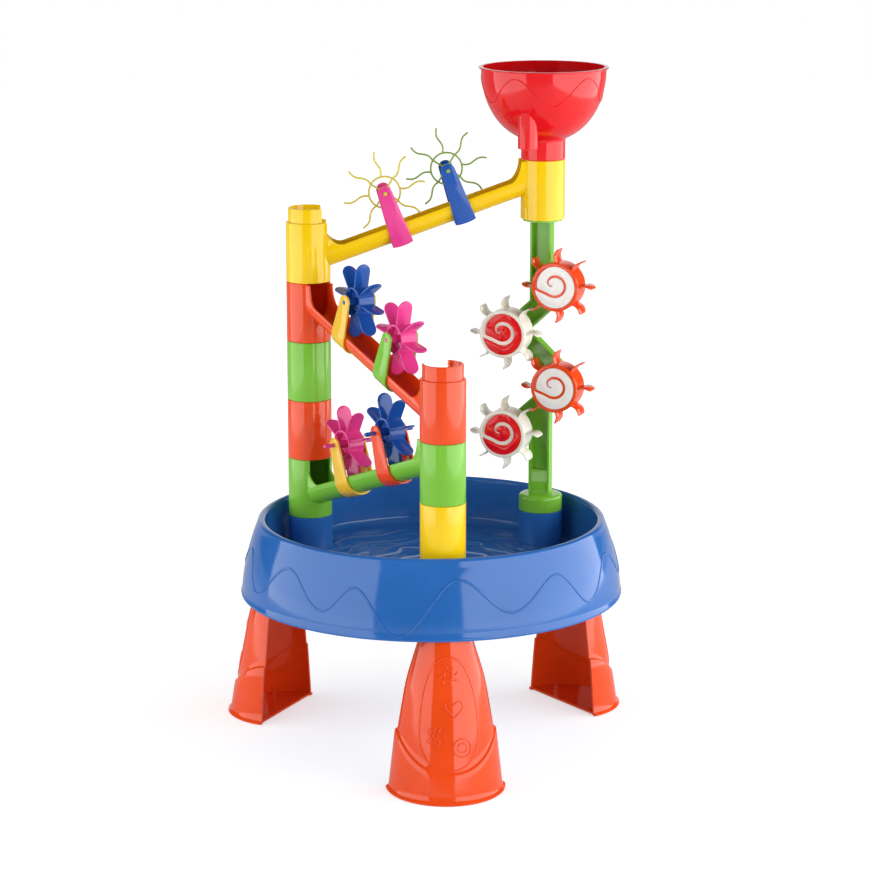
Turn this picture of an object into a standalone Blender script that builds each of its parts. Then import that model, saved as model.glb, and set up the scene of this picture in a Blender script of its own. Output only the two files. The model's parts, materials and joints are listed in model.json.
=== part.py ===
"""A water table: a round basin on three legs, three columns of stacked tubes, sloping troughs
with clip-on spinners, a zigzag cascade with swirl wheels, and a funnel.

Metres, +Z up. The origin is on the ground, in the middle of the object's box. The three columns
stand on a circle round the basin's axis, the front one towards -Y.
"""

import math

import bmesh
import bpy
from mathutils import Matrix, Vector

# Columns of stacked tube segments
COLUMN_RADIUS = 0.172
COLUMN_ANGLE = {"front": -90, "right": 30, "left": 150}
MODULE_HEIGHT = 0.076
TUBE_RADIUS = 0.028
WALL = 0.0024
FIT = 0.0003
PLUG_FIT = 0.0005
SPIGOT_HEIGHT = 0.018
SHOULDER = 0.003

# Basin
RIM_CLEARANCE = 0.009
RIM_WIDTH = 0.010
RIM_HEIGHT = 0.2864
RIM_ROLL = 0.0044
SKIRT_FLARE = 0.021
SKIRT_POWER = 1.75
SKIRT_BOTTOM = 0.190
SKIRT_BEAD = 0.0012
BEAD_HEIGHT = 0.005
BASIN_WALL = 0.003
WALL_DRAFT = 0.003
FLOOR_HEIGHT = 0.225
FLOOR_FILLET = 0.010
PEDESTAL_HEIGHT = 0.045
OUTLET_WIDTH = 0.016
OUTLET_HEIGHT = 0.014
OUTLET_SILL = 0.001
OUTLET_ANGLE = 60

# Legs: half ovals, open towards the basin's axis
LEG_SETBACK = 0.001
LEG_WALL = 0.003
LEG_GROUND_HALF_WIDTH = 0.067
LEG_GROUND_DEPTH = 0.072
LEG_KNEE_HEIGHT = 0.075
LEG_KNEE_HALF_WIDTH = 0.0585
LEG_KNEE_DEPTH = 0.059
LEG_WAIST_HEIGHT = 0.137
LEG_WAIST_HALF_WIDTH = 0.048
LEG_WAIST_DEPTH = 0.047
LEG_NECK_HALF_WIDTH = 0.032
LEG_TOP_HALF_WIDTH = 0.0245
LEG_SKIRT_GAP = 0.0015
LEG_STEP = 0.003
LEG_STEP_SLOPE = 0.0015
LEG_FLANGE = 0.0035
LEG_FLANGE_HEIGHT = 0.003
LEG_PLATE_LIFT = 0.001
LEG_PANEL_BOTTOM = 0.027
LEG_PANEL_ANGLE = 48
SOCKET_HEIGHT = 0.026
SOCKET_MARGIN = 0.004
PLUG_LENGTH = 0.028

# Troughs: two tube ends and a half-round channel
CHANNEL_RADIUS = 0.018
CHANNEL_RIM = 0.0045
HIGH_ENTRY = 0.028
LOW_ENTRY = 0.019
HIGH_FILLET = 0.022
LOW_FILLET = 0.034
HIGH_REACH = 0.014
LOW_REACH = 0.020
SLOT_EXTRA = 0.0005
SLOT_REACH = 0.017

# Clip-on brackets and their wheels
STRAP = 0.0026
STRAP_TOP_WIDTH = 0.019
STRAP_TOP_ANGLE = 78
STRAP_WIDTH = 0.028
NUB_REACH = 0.0015
NUB_HEIGHT = 0.0025
NUB_WIDTH = 0.008
AXLE_RADIUS = 0.0025
PADDLE_PIVOT = 0.0468
PADDLE_RADIUS = 0.048
PADDLE_GAP = 0.002
PADDLE_OFFSET = 0.002
UPPER_SHIFT = -0.0042
LOWER_SHIFT = -0.0016
PADDLE_WIDTH = 0.023
PETAL_WIDTH = 0.021
PETAL_WAIST = 0.0175
PETAL_ROOT = 0.003
PADDLE_HUB = 0.018
BLADE_COUNT = 8
BLADE_THICKNESS = 0.0024
BOSS_RADIUS = 0.005
SIDE_PLAY = 0.0004
SHORT_PIN = 0.0006
LONG_PIN = 0.014
UPPER_PHASE = 12
LOWER_PHASE = 17.5

SUN_PIVOT = 0.0471
SUN_SHIFT = -0.003
SUN_SPACING = 0.084
SUN_TOP_WIDTH = 0.018
SUN_FOOT_WIDTH = 0.027
SUN_FOOT_DROP = 0.0034
SUN_RING = 0.020
SUN_RADIUS = 0.053
SUN_WIRE = 0.0024
SUN_WAVE = 0.0022
SUN_RIM_SHARES = (0.35, 0.65)
SUN_RAYS = 8
SUN_SPOKES = 4
SUN_HUB = 0.005
SUN_OFFSET = 0.006
SUN_PHASE = 14.5

# Cascade post and its swirl wheels
POST_FACING = -27
POST_WIDTH = 0.028
POST_CORNER = 0.001
POST_REAR = -0.005
POST_FRONT = 0.0075
BASE_RING_HEIGHT = 0.0215
NECK_TOP = 0.053
SWIRL_COUNT = 4
SWIRL_SIDE = 0.035
SWIRL_PITCH = 0.065
SWIRL_TOP = 0.301
SWIRL_RADIUS = 0.047
SWIRL_DRUM = 0.031
SWIRL_DEPTH = 0.030
SWIRL_BACK = 0.0132
VANE_BULGE = 0.0022
VANE_LEAN = 0.001
VANE_INSET = 0.0015
INLAY_RIM = 0.0042
INLAY_DEPTH = 0.0016
SPIRAL_START = 190
SPIRAL_SWEEP = 380
SPIRAL_MIDDLE = 0.53
SPIRAL_DRIFT = 0.12
SPIRAL_HOOK = 0.35
SPIRAL_POWER = 5
SPIRAL_TIP = 0.35
SPIRAL_TAPER = 3
SPIRAL_SLOT = {"orange": 0.0020, "cream": 0.0036}
PIN_RADIUS = 0.002
PIN_BOSS = 0.0055
BOSS_SETBACK = 0.001

# Funnel
BOWL_RADIUS = 0.079
BOWL_DEPTH = 0.095
BOWL_FULLNESS = 2.15
FUNNEL_HEIGHT = 0.116
LIP_WIDTH = 0.003
LIP_HEIGHT = 0.002
DRAIN_RADIUS = 0.012
FUNNEL_SOCKET = 0.0186
SPOUT_REACH = 0.0555
SPOUT_RADIUS = 0.0125
SPOUT_BOTTOM = 0.019

# Facets round a circle
BASIN_FACETS = 48
TUBE_FACETS = 20
BOWL_FACETS = 24
WHEEL_FACETS = 24
PIN_FACETS = 8
ARC_FACETS = 5
SWEEP_FACETS = 4
RAY_FACETS = 5
VANE_FACETS = 3
SPIRAL_FACETS = 18
CHANNEL_FACETS = 9

# Points closer than this are one point, and faces within this angle are one face
MERGE = 0.000003
FLATNESS = math.radians(0.05)

# Plastics: sRGB colour of each
COLOURS = {
    "blue": (31, 91, 176),
    "orange": (240, 82, 32),
    "green": (125, 194, 66),
    "yellow": (252, 210, 20),
    "red": (238, 28, 37),
    "pink": (240, 75, 160),
    "cream": (243, 241, 228),
    "white": (250, 248, 244),
    "sun_yellow": (216, 201, 58),
    "sun_green": (143, 176, 78),
    "amber": (245, 194, 46),
}
ROUGHNESS = 0.25

# Sizes that follow from those above
TUBE_HEIGHT = MODULE_HEIGHT - FIT
TUBE_BORE = TUBE_RADIUS - WALL
SPIGOT_RADIUS = TUBE_BORE - PLUG_FIT
SPIGOT_BORE = SPIGOT_RADIUS - WALL
STACK_BOTTOM = FLOOR_HEIGHT + PEDESTAL_HEIGHT + FIT
RIM_INNER = COLUMN_RADIUS + TUBE_RADIUS + RIM_CLEARANCE
RIM_OUTER = RIM_INNER + RIM_WIDTH
RIM_SHOULDER = RIM_HEIGHT - RIM_ROLL
SKIRT_RADIUS = RIM_OUTER + SKIRT_FLARE
WALL_FOOT = RIM_INNER - WALL_DRAFT
LEG_PLANE = RIM_INNER + LEG_SETBACK
LEG_TOP = FLOOR_HEIGHT - BASIN_WALL - FIT
COLUMN_SPACING = COLUMN_RADIUS * math.sqrt(3)
CHANNEL_RUN = COLUMN_SPACING - 2 * TUBE_RADIUS
SLOPE = math.atan2(MODULE_HEIGHT + HIGH_ENTRY - LOW_ENTRY, CHANNEL_RUN)
CHANNEL_LENGTH = CHANNEL_RUN / math.cos(SLOPE)
CHANNEL_BORE = CHANNEL_RADIUS - WALL
CHANNEL_TOP = HIGH_ENTRY + CHANNEL_RADIUS / math.cos(SLOPE)
STRAP_INSIDE = CHANNEL_RADIUS + FIT
STRAP_OUTSIDE = STRAP_INSIDE + STRAP
POST_HEIGHT = 5 * MODULE_HEIGHT
FRONT_REACH = LEG_PLANE + LEG_GROUND_DEPTH + LEG_STEP + LEG_FLANGE
BACK_REACH = (SKIRT_RADIUS + SKIRT_BEAD) * math.cos(math.pi / BASIN_FACETS)
FRAME_SHIFT = (FRONT_REACH - BACK_REACH) / 2


def linear(value):
    """An sRGB channel from 0 to 255 as a linear value."""
    share = value / 255
    return share / 12.92 if share <= 0.04045 else ((share + 0.055) / 1.055) ** 2.4


def plastic(name):
    """The glossy moulded plastic of one colour, made once."""
    made = bpy.data.materials.get(name)
    if made is None:
        made = bpy.data.materials.new(name)
        made.use_nodes = True
        shader = made.node_tree.nodes["Principled BSDF"]
        colour = [linear(value) for value in COLOURS[name]]
        shader.inputs["Base Color"].default_value = (*colour, 1)
        shader.inputs["Roughness"].default_value = ROUGHNESS
    return made


def polar(radius, angle, height=0):
    """A point at an angle in degrees round Z."""
    turn = math.radians(angle)
    return Vector((radius * math.cos(turn), radius * math.sin(turn), height))


def arc(first, last, count):
    """Angles in radians from first to last degrees, in count steps."""
    return [math.radians(first + (last - first) * i / count) for i in range(count + 1)]


def between(stations, at):
    """The values of the stations, (position, value, ...), read at a position in straight runs."""
    for low, high in zip(stations, stations[1:]):
        if at <= high[0] or high is stations[-1]:
            share = (at - low[0]) / (high[0] - low[0])
            return [a + (b - a) * share for a, b in zip(low[1:], high[1:])]


def finished(shape):
    """The bmesh as a mesh, its faces pointing out and its round parts shaded smooth."""
    bmesh.ops.recalc_face_normals(shape, faces=shape.faces)
    mesh = bpy.data.meshes.new("shape")
    shape.to_mesh(mesh)
    shape.free()
    mesh.shade_smooth()
    mesh.set_sharp_from_angle(angle=math.radians(32))
    return mesh


def turned(profile, facets):
    """A solid turned about Z. A profile of (radius, height) points ends on the axis or is a loop."""
    shape = bmesh.new()
    rings = []
    for radius, height in profile:
        if radius == 0:
            rings.append([shape.verts.new((0, 0, height))] * facets)
        else:
            rings.append([shape.verts.new(polar(radius, 360 * i / facets, height)) for i in range(facets)])
    if profile[0][0] != 0:
        rings.append(rings[0])
    for below, above in zip(rings, rings[1:]):
        for i in range(facets):
            j = (i + 1) % facets
            corners = list(dict.fromkeys([below[i], below[j], above[j], above[i]]))
            if len(corners) > 2:
                shape.faces.new(corners)
    return finished(shape)


def lofted(sections):
    """A solid through closed sections with as many points each, capped at both ends."""
    shape = bmesh.new()
    loops = [[shape.verts.new(point) for point in section] for section in sections]
    for first, second in zip(loops, loops[1:]):
        for i in range(len(first)):
            j = (i + 1) % len(first)
            shape.faces.new((first[i], first[j], second[j], second[i]))
    shape.faces.new(loops[0])
    shape.faces.new(loops[-1])
    return finished(shape)


def prism(outline, bottom, top):
    """A flat outline of (x, y) points made a solid between two heights."""
    return lofted([[Vector((x, y, height)) for x, y in outline] for height in (bottom, top)])


def moved(mesh, matrix):
    mesh.transform(matrix)
    return mesh


def gathered(meshes):
    """Meshes that don't meet, as one mesh."""
    shape = bmesh.new()
    for mesh in meshes:
        shape.from_mesh(mesh)
    return finished(shape)


def triangulated(mesh):
    shape = bmesh.new()
    shape.from_mesh(mesh)
    bmesh.ops.triangulate(shape, faces=shape.faces)
    shape.to_mesh(mesh)
    shape.free()
    return mesh


def combined(base, tool, operation):
    """The mesh that an exact Boolean makes of two."""
    first = bpy.data.objects.new("base", triangulated(base))
    second = bpy.data.objects.new("tool", triangulated(tool))
    for helper in (first, second):
        bpy.context.scene.collection.objects.link(helper)
    modifier = first.modifiers.new(operation, "BOOLEAN")
    modifier.operation = operation
    modifier.solver = "EXACT"
    modifier.object = second
    graph = bpy.context.evaluated_depsgraph_get()
    mesh = bpy.data.meshes.new_from_object(first.evaluated_get(graph))
    for helper in (first, second):
        bpy.data.objects.remove(helper)
    shape = bmesh.new()
    shape.from_mesh(mesh)
    bmesh.ops.remove_doubles(shape, verts=shape.verts, dist=MERGE)
    bmesh.ops.dissolve_degenerate(shape, dist=MERGE, edges=shape.edges)
    bmesh.ops.dissolve_limit(shape, angle_limit=FLATNESS, verts=shape.verts, edges=shape.edges)
    return finished(shape)


def joined(base, *tools):
    for tool in tools:
        base = combined(base, tool, "UNION")
    return base


def cut(base, *tools):
    for tool in tools:
        base = combined(base, tool, "DIFFERENCE")
    return base


def piece(name, mesh, colour, parent, place=None):
    """One named sub-part, placed under its parent."""
    made = bpy.data.objects.new(name, mesh.copy())
    made.data.name = name
    made.data.materials.clear()
    made.data.materials.append(plastic(colour))
    bpy.context.scene.collection.objects.link(made)
    made.parent = parent
    if place is not None:
        made.matrix_local = place
    return made


def skirt_radius(height):
    """Outside of the basin's skirt, which flares more and more towards the rim."""
    share = max(0, (height - SKIRT_BOTTOM) / (RIM_SHOULDER - SKIRT_BOTTOM))
    return SKIRT_RADIUS - SKIRT_FLARE * share**SKIRT_POWER


def leg_size(height):
    """Half width and depth of a leg's half oval at a height, without its foot's step."""
    inside = BASIN_WALL + LEG_SKIRT_GAP + LEG_PLANE
    stations = (
        (0, LEG_GROUND_HALF_WIDTH, LEG_GROUND_DEPTH),
        (LEG_KNEE_HEIGHT, LEG_KNEE_HALF_WIDTH, LEG_KNEE_DEPTH),
        (LEG_WAIST_HEIGHT, LEG_WAIST_HALF_WIDTH, LEG_WAIST_DEPTH),
        (SKIRT_BOTTOM, LEG_NECK_HALF_WIDTH, skirt_radius(SKIRT_BOTTOM) - inside),
        (LEG_TOP, LEG_TOP_HALF_WIDTH, skirt_radius(LEG_TOP) - inside),
    )
    return between(stations, height)


def leg_point(turn, height, offset):
    """A point of a leg at an angle round its half oval, offset outwards, with +X away from the basin."""
    half_width, depth = leg_size(height)
    x = LEG_PLANE + (depth + offset) * math.cos(turn)
    y = (half_width + offset) * math.sin(turn)
    if abs(turn) >= math.pi / 2:
        x = LEG_PLANE
    return Vector((x, y, height))


def leg_mesh():
    """A thin half cone with a foot band that steps out and dips under the front panel, and a foot plate."""
    turns = arc(-90, 90, 2 * ARC_FACETS)

    def step_height(turn):
        share = min(1, abs(math.degrees(turn)) / LEG_PANEL_ANGLE)
        rise = share * share * (3 - 2 * share)
        return LEG_PANEL_BOTTOM + (LEG_KNEE_HEIGHT - LEG_PANEL_BOTTOM) * rise

    def row(height_at, outer, inner):
        outside = [leg_point(turn, height_at(turn), outer) for turn in turns]
        inside = [leg_point(turn, height_at(turn), inner) for turn in reversed(turns)]
        return outside + inside

    foot_inside = LEG_STEP - LEG_WALL
    sections = [
        row(lambda turn: 0, LEG_STEP + LEG_FLANGE, foot_inside),
        row(lambda turn: LEG_FLANGE_HEIGHT, LEG_STEP + LEG_FLANGE, foot_inside),
        row(lambda turn: LEG_FLANGE_HEIGHT + LEG_STEP_SLOPE, LEG_STEP, foot_inside),
        row(lambda turn: step_height(turn) - LEG_STEP_SLOPE, LEG_STEP, foot_inside),
        row(lambda turn: step_height(turn) + LEG_STEP_SLOPE, 0, -LEG_WALL),
        row(lambda turn: (step_height(turn) + LEG_WAIST_HEIGHT) / 2, 0, -LEG_WALL),
        row(lambda turn: LEG_WAIST_HEIGHT, 0, -LEG_WALL),
        row(lambda turn: SKIRT_BOTTOM, 0, -LEG_WALL),
        row(lambda turn: LEG_TOP, 0, -LEG_WALL),
    ]
    plate = []
    for height in (LEG_PLATE_LIFT, LEG_PLATE_LIFT + LEG_WALL):
        plate.append([leg_point(turn, height, LEG_STEP - LEG_WALL / 2) for turn in turns])
    return joined(lofted(sections), moved(lofted(plate), Matrix.Translation((FIT, 0, 0))))


def leg_socket():
    """A block between the basin's wall and skirt that a leg's top edge bears on."""
    bottom = FLOOR_HEIGHT - BASIN_WALL
    half_angle = math.degrees(math.asin((LEG_TOP_HALF_WIDTH + SOCKET_MARGIN) / LEG_PLANE))
    inner = WALL_FOOT + BASIN_WALL / 2
    corners = [(inner, bottom)]
    for share in (0, 0.5, 1):
        height = bottom + SOCKET_HEIGHT * share
        corners.append((skirt_radius(height) - BASIN_WALL / 2, height))
    corners.append((inner, bottom + SOCKET_HEIGHT))
    count = ARC_FACETS
    turns = [half_angle * (2 * i / count - 1) for i in range(count + 1)]
    return lofted([[polar(radius, turn, height) for radius, height in corners] for turn in turns])


def leg_plug():
    """The half oval under the socket block that fills a leg's top."""
    offset = -LEG_WALL - 1.5 * FIT
    bottom = LEG_TOP - PLUG_LENGTH
    turns = arc(-90, 90, 2 * ARC_FACETS)
    rows = [[leg_point(turn, height, offset) for turn in turns] for height in (bottom, LEG_TOP)]
    rows.append([point + Vector((0, 0, 2 * FIT + BASIN_WALL)) for point in rows[-1]])
    return lofted(rows)


def pedestal():
    """A raised tube on the basin floor, with the spigot that a column stands on."""
    foot = FLOOR_HEIGHT - BASIN_WALL / 2
    top = FLOOR_HEIGHT + PEDESTAL_HEIGHT
    profile = [
        (TUBE_RADIUS, foot),
        (TUBE_RADIUS, top),
        (SPIGOT_RADIUS, top),
        (SPIGOT_RADIUS, top + SPIGOT_HEIGHT),
        (SPIGOT_BORE, top + SPIGOT_HEIGHT),
        (SPIGOT_BORE, foot),
    ]
    return turned(profile, TUBE_FACETS)


def outlet():
    """The cutter of the arch that lets the lowest tube's water into the basin."""
    side = OUTLET_WIDTH / 2
    spring = OUTLET_HEIGHT - side
    outline = [(side, 0)] + [(side * math.cos(a), spring + side * math.sin(a)) for a in arc(0, 180, 6)]
    outline.append((-side, 0))
    shape = prism(outline, 0, 2 * TUBE_RADIUS)
    upright = Matrix(((0, 0, 1), (1, 0, 0), (0, 1, 0))).to_4x4()
    lift = Matrix.Translation((0, 0, FLOOR_HEIGHT + OUTLET_SILL))
    return moved(shape, lift @ Matrix.Rotation(math.radians(OUTLET_ANGLE), 4, "Z") @ upright)


def basin_mesh():
    """The tub: floor, wall, rolled rim and skirt in one skin, with pedestals and leg sockets."""
    centre = RIM_INNER + RIM_WIDTH / 2
    fillet_top = FLOOR_HEIGHT + FLOOR_FILLET
    inner_centre = WALL_FOOT - FLOOR_FILLET
    steps = 4
    drop = SKIRT_BOTTOM + BEAD_HEIGHT - RIM_SHOULDER
    heights = [RIM_SHOULDER + drop * i / steps for i in range(steps + 1)]
    inside = [(0, FLOOR_HEIGHT)]
    for turn in arc(-90, 0, 2):
        radius = inner_centre + FLOOR_FILLET * math.cos(turn)
        inside.append((radius, fillet_top + FLOOR_FILLET * math.sin(turn)))
    rim = []
    for turn in arc(180, 0, 4):
        radius = centre + RIM_WIDTH / 2 * math.cos(turn)
        rim.append((radius, RIM_SHOULDER + RIM_ROLL * math.sin(turn)))
    skirt = [(skirt_radius(height), height) for height in heights[1:]]
    bead = [
        (SKIRT_RADIUS + SKIRT_BEAD, SKIRT_BOTTOM + BEAD_HEIGHT - SKIRT_BEAD),
        (SKIRT_RADIUS + SKIRT_BEAD, SKIRT_BOTTOM),
        (SKIRT_RADIUS - BASIN_WALL, SKIRT_BOTTOM),
    ]
    under_rim = RIM_SHOULDER - BASIN_WALL
    lining = [(skirt_radius(height) - BASIN_WALL, height) for height in heights[:0:-1]]
    lining.append((skirt_radius(under_rim) - BASIN_WALL, under_rim))
    lining.append((RIM_INNER + BASIN_WALL, under_rim))
    under = []
    for turn in arc(0, -90, 2):
        radius = inner_centre + (FLOOR_FILLET + BASIN_WALL) * math.cos(turn)
        under.append((radius, fillet_top + (FLOOR_FILLET + BASIN_WALL) * math.sin(turn)))
    under.append((0, FLOOR_HEIGHT - BASIN_WALL))
    half_facet = Matrix.Rotation(math.pi / BASIN_FACETS, 4, "Z")
    tub = moved(turned(inside + rim + skirt + bead + lining + under, BASIN_FACETS), half_facet)

    def at_columns(make, radius):
        copies = []
        for angle in COLUMN_ANGLE.values():
            turn = Matrix.Rotation(math.radians(angle), 4, "Z")
            copies.append(moved(make(), turn @ Matrix.Translation((radius, 0, 0))))
        return gathered(copies)

    tub = joined(tub, at_columns(pedestal, COLUMN_RADIUS))
    tub = joined(tub, at_columns(leg_socket, 0), at_columns(leg_plug, 0))
    drain = moved(outlet(), Matrix.Translation(polar(COLUMN_RADIUS, COLUMN_ANGLE["left"])))
    return cut(tub, drain)


def tube_outline(bottom):
    """Outside of a tube segment and of the spigot on it, from the axis to the axis."""
    return [
        (0, bottom),
        (TUBE_RADIUS, bottom),
        (TUBE_RADIUS, bottom + TUBE_HEIGHT),
        (SPIGOT_RADIUS, bottom + TUBE_HEIGHT),
        (SPIGOT_RADIUS, bottom + TUBE_HEIGHT + SPIGOT_HEIGHT),
        (0, bottom + TUBE_HEIGHT + SPIGOT_HEIGHT),
    ]


def tube_bore(bottom, floor):
    """The hollow of a tube segment from a floor height up through its spigot."""
    top = bottom + TUBE_HEIGHT
    return [
        (0, floor),
        (TUBE_BORE, floor),
        (TUBE_BORE, top - 2 * SHOULDER),
        (SPIGOT_BORE, top - SHOULDER),
        (SPIGOT_BORE, top + SPIGOT_HEIGHT + WALL),
        (0, top + SPIGOT_HEIGHT + WALL),
    ]


def ring_mesh():
    """A plain stacking tube segment."""
    bore = tube_bore(0, 0)[1:4]
    loop = tube_outline(0)[1:5] + [(SPIGOT_BORE, TUBE_HEIGHT + SPIGOT_HEIGHT)] + bore[::-1]
    return turned(loop, TUBE_FACETS)


def channel_place(along=0):
    """From the channel's own frame, +X down the slope and +Z square to it, to the trough's frame."""
    start = Matrix.Translation((TUBE_RADIUS, 0, CHANNEL_TOP))
    return start @ Matrix.Rotation(SLOPE, 4, "Y") @ Matrix.Translation((along, 0, 0))


def channel_shell(reach):
    """The half-round channel, whose side walls sweep up at both ends to meet the tubes."""

    def section(along, rise, lean=0):
        outer = [(CHANNEL_RADIUS, 0)]
        inner = [(CHANNEL_BORE, 0)]
        for turn in arc(0, 180, CHANNEL_FACETS)[1:]:
            outer.append((CHANNEL_RADIUS * math.cos(turn), -CHANNEL_RADIUS * math.sin(turn)))
            inner.append((CHANNEL_BORE * math.cos(turn), -CHANNEL_BORE * math.sin(turn)))
        top = CHANNEL_RIM + rise
        points = [Vector((along - lean, CHANNEL_RADIUS, top))]
        points += [Vector((along, side, up)) for side, up in outer]
        points += [Vector((along - lean, -side, top)) for side in (CHANNEL_RADIUS, CHANNEL_BORE)]
        points += [Vector((along, side, up)) for side, up in reversed(inner)]
        points.append(Vector((along - lean, CHANNEL_BORE, top)))
        return points

    def sweep(length, fillet):
        stations = []
        for turn in arc(0, 90, SWEEP_FACETS):
            stations.append((length * (1 - math.cos(turn)), fillet * (1 - math.sin(turn))))
        return stations

    upright_lean = math.tan(SLOPE)
    end_rise = HIGH_FILLET - reach * upright_lean
    sections = [section(-reach, end_rise, end_rise * upright_lean)]
    sections += [section(along, rise, rise * upright_lean) for along, rise in sweep(HIGH_REACH, HIGH_FILLET)]
    for along, rise in reversed(sweep(LOW_REACH, LOW_FILLET)):
        sections.append(section(CHANNEL_LENGTH - along, rise))
    sections.append(section(CHANNEL_LENGTH + reach, LOW_FILLET))
    return lofted(sections)


def tube_slot(first, last, shoulder):
    """The cutter that opens a tube towards the channel, from the channel's floor to its top."""
    radius = CHANNEL_BORE - FIT
    half = CHANNEL_RADIUS + SLOT_EXTRA
    tall = MODULE_HEIGHT + SPIGOT_HEIGHT
    outline = [(half, tall), (half, shoulder), (radius, shoulder)]
    for turn in arc(0, 180, CHANNEL_FACETS):
        outline.append((radius * math.cos(turn), -radius * math.sin(turn)))
    outline += [(-radius, shoulder), (-half, shoulder), (-half, tall)]
    return lofted([[Vector((along, side, up)) for side, up in outline] for along in (first, last)])


def trough_mesh():
    """One moulding: a high tube at the origin, a low one a module below it, and the channel between."""
    low = Matrix.Translation((COLUMN_SPACING, 0, 0))
    low_bottom = -MODULE_HEIGHT
    reach = TUBE_RADIUS / 2
    body = turned(tube_outline(0), TUBE_FACETS)
    low_tube = moved(turned(tube_outline(low_bottom), TUBE_FACETS), low)
    channel = moved(channel_shell(reach), channel_place())
    floor_top = CHANNEL_TOP - CHANNEL_BORE / math.cos(SLOPE)
    socket = [(0, -WALL), (TUBE_BORE, -WALL), (TUBE_BORE, floor_top - WALL), (0, floor_top - WALL)]
    body = joined(body, low_tube, channel)
    body = cut(body, turned(socket, TUBE_FACETS), turned(tube_bore(0, floor_top), TUBE_FACETS))
    body = cut(body, moved(turned(tube_bore(low_bottom, low_bottom - WALL), TUBE_FACETS), low))
    lean = (MODULE_HEIGHT + SPIGOT_HEIGHT) * math.sin(SLOPE)
    high_slot = tube_slot(-TUBE_RADIUS - WALL, CHANNEL_RADIUS / 2, CHANNEL_RIM + HIGH_FILLET + SLOT_EXTRA)
    low_end = CHANNEL_LENGTH + SLOT_REACH
    low_slot = tube_slot(CHANNEL_LENGTH - lean, low_end, CHANNEL_RIM + LOW_FILLET + SLOT_EXTRA)
    return cut(body, moved(high_slot, channel_place()), moved(low_slot, channel_place()))


def cylinder_across(radius, first, last, facets, up=0):
    """A cylinder along Y between two places, at a height."""
    shape = turned([(0, first), (radius, first), (radius, last), (0, last)], facets)
    return moved(shape, Matrix.Translation((0, 0, up)) @ Matrix.Rotation(math.radians(-90), 4, "X"))


def strap(path):
    """A U-shaped strap through places (inside y, z, outside y, z, half width)."""
    sections = []
    for y_in, z_in, y_out, z_out, half in path:
        corners = ((-half, y_in, z_in), (half, y_in, z_in), (half, y_out, z_out), (-half, y_out, z_out))
        sections.append([Vector(corner) for corner in corners])
    return lofted(sections)


def rounded_top(pivot, radius):
    """Half widths and heights down a plate's round top, whose middle is at the pivot."""
    turns = arc(STRAP_TOP_ANGLE, 0, SWEEP_FACETS)
    return [(radius * math.cos(turn), pivot + radius * math.sin(turn)) for turn in turns]


def bracket(path, pivot):
    """A strap with its axle holes and the nubs that hook over the channel's rim."""
    nubs = []
    low = CHANNEL_RIM + FIT
    for side in (-1, 1):
        ends = sorted((side * (STRAP_INSIDE - NUB_REACH), side * (STRAP_INSIDE + STRAP / 2)))
        half = NUB_WIDTH / 2
        outline = [(-half, ends[0]), (half, ends[0]), (half, ends[1]), (-half, ends[1])]
        nubs.append(prism(outline, low, low + NUB_HEIGHT))
    reach = STRAP_OUTSIDE + WALL
    hole = cylinder_across(AXLE_RADIUS + FIT, -reach, reach, PIN_FACETS, pivot)
    return cut(joined(strap(path), gathered(nubs)), hole)


def paddle_bracket_mesh():
    """A strap that widens from its round tops and wraps under the channel."""
    half = STRAP_WIDTH / 2
    top = rounded_top(PADDLE_PIVOT, STRAP_TOP_WIDTH / 2)
    arm = [(STRAP_INSIDE, up, STRAP_OUTSIDE, up, wide) for wide, up in top]
    path = list(arm)
    for turn in arc(0, 180, CHANNEL_FACETS):
        y, z = math.cos(turn), -math.sin(turn)
        path.append((STRAP_INSIDE * y, STRAP_INSIDE * z, STRAP_OUTSIDE * y, STRAP_OUTSIDE * z, half))
    path += [(-y_in, z_in, -y_out, z_out, wide) for y_in, z_in, y_out, z_out, wide in reversed(arm)]
    return bracket(path, PADDLE_PIVOT)


def sun_bracket_mesh():
    """Two tapered plates, joined below the channel by a web."""
    foot = -CHANNEL_RADIUS - SUN_FOOT_DROP
    top = rounded_top(SUN_PIVOT, SUN_TOP_WIDTH / 2)
    arm = [(STRAP_INSIDE, up, STRAP_OUTSIDE, up, wide) for wide, up in top]
    path = arm + [(STRAP_INSIDE, foot + STRAP, STRAP_OUTSIDE, foot, SUN_FOOT_WIDTH / 2)]
    path += [(-y_in, z_in, -y_out, z_out, wide) for y_in, z_in, y_out, z_out, wide in reversed(path)]
    return bracket(path, SUN_PIVOT)


def axle(boss, middle_first, middle_last, proud):
    """An axle along Y: a boss between the bracket's plates and a pin through each of them."""
    end = STRAP_OUTSIDE + proud
    profile = [
        (0, -end),
        (AXLE_RADIUS, -end),
        (AXLE_RADIUS, middle_first),
        (boss, middle_first),
        (boss, middle_last),
        (AXLE_RADIUS, middle_last),
        (AXLE_RADIUS, end),
        (0, end),
    ]
    return moved(turned(profile, PIN_FACETS), Matrix.Rotation(math.radians(-90), 4, "X"))


def lying(shape):
    """A shape made flat in XY, stood up in XZ with its own +Z towards -Y."""
    return moved(shape, Matrix.Rotation(math.radians(90), 4, "X"))


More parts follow.
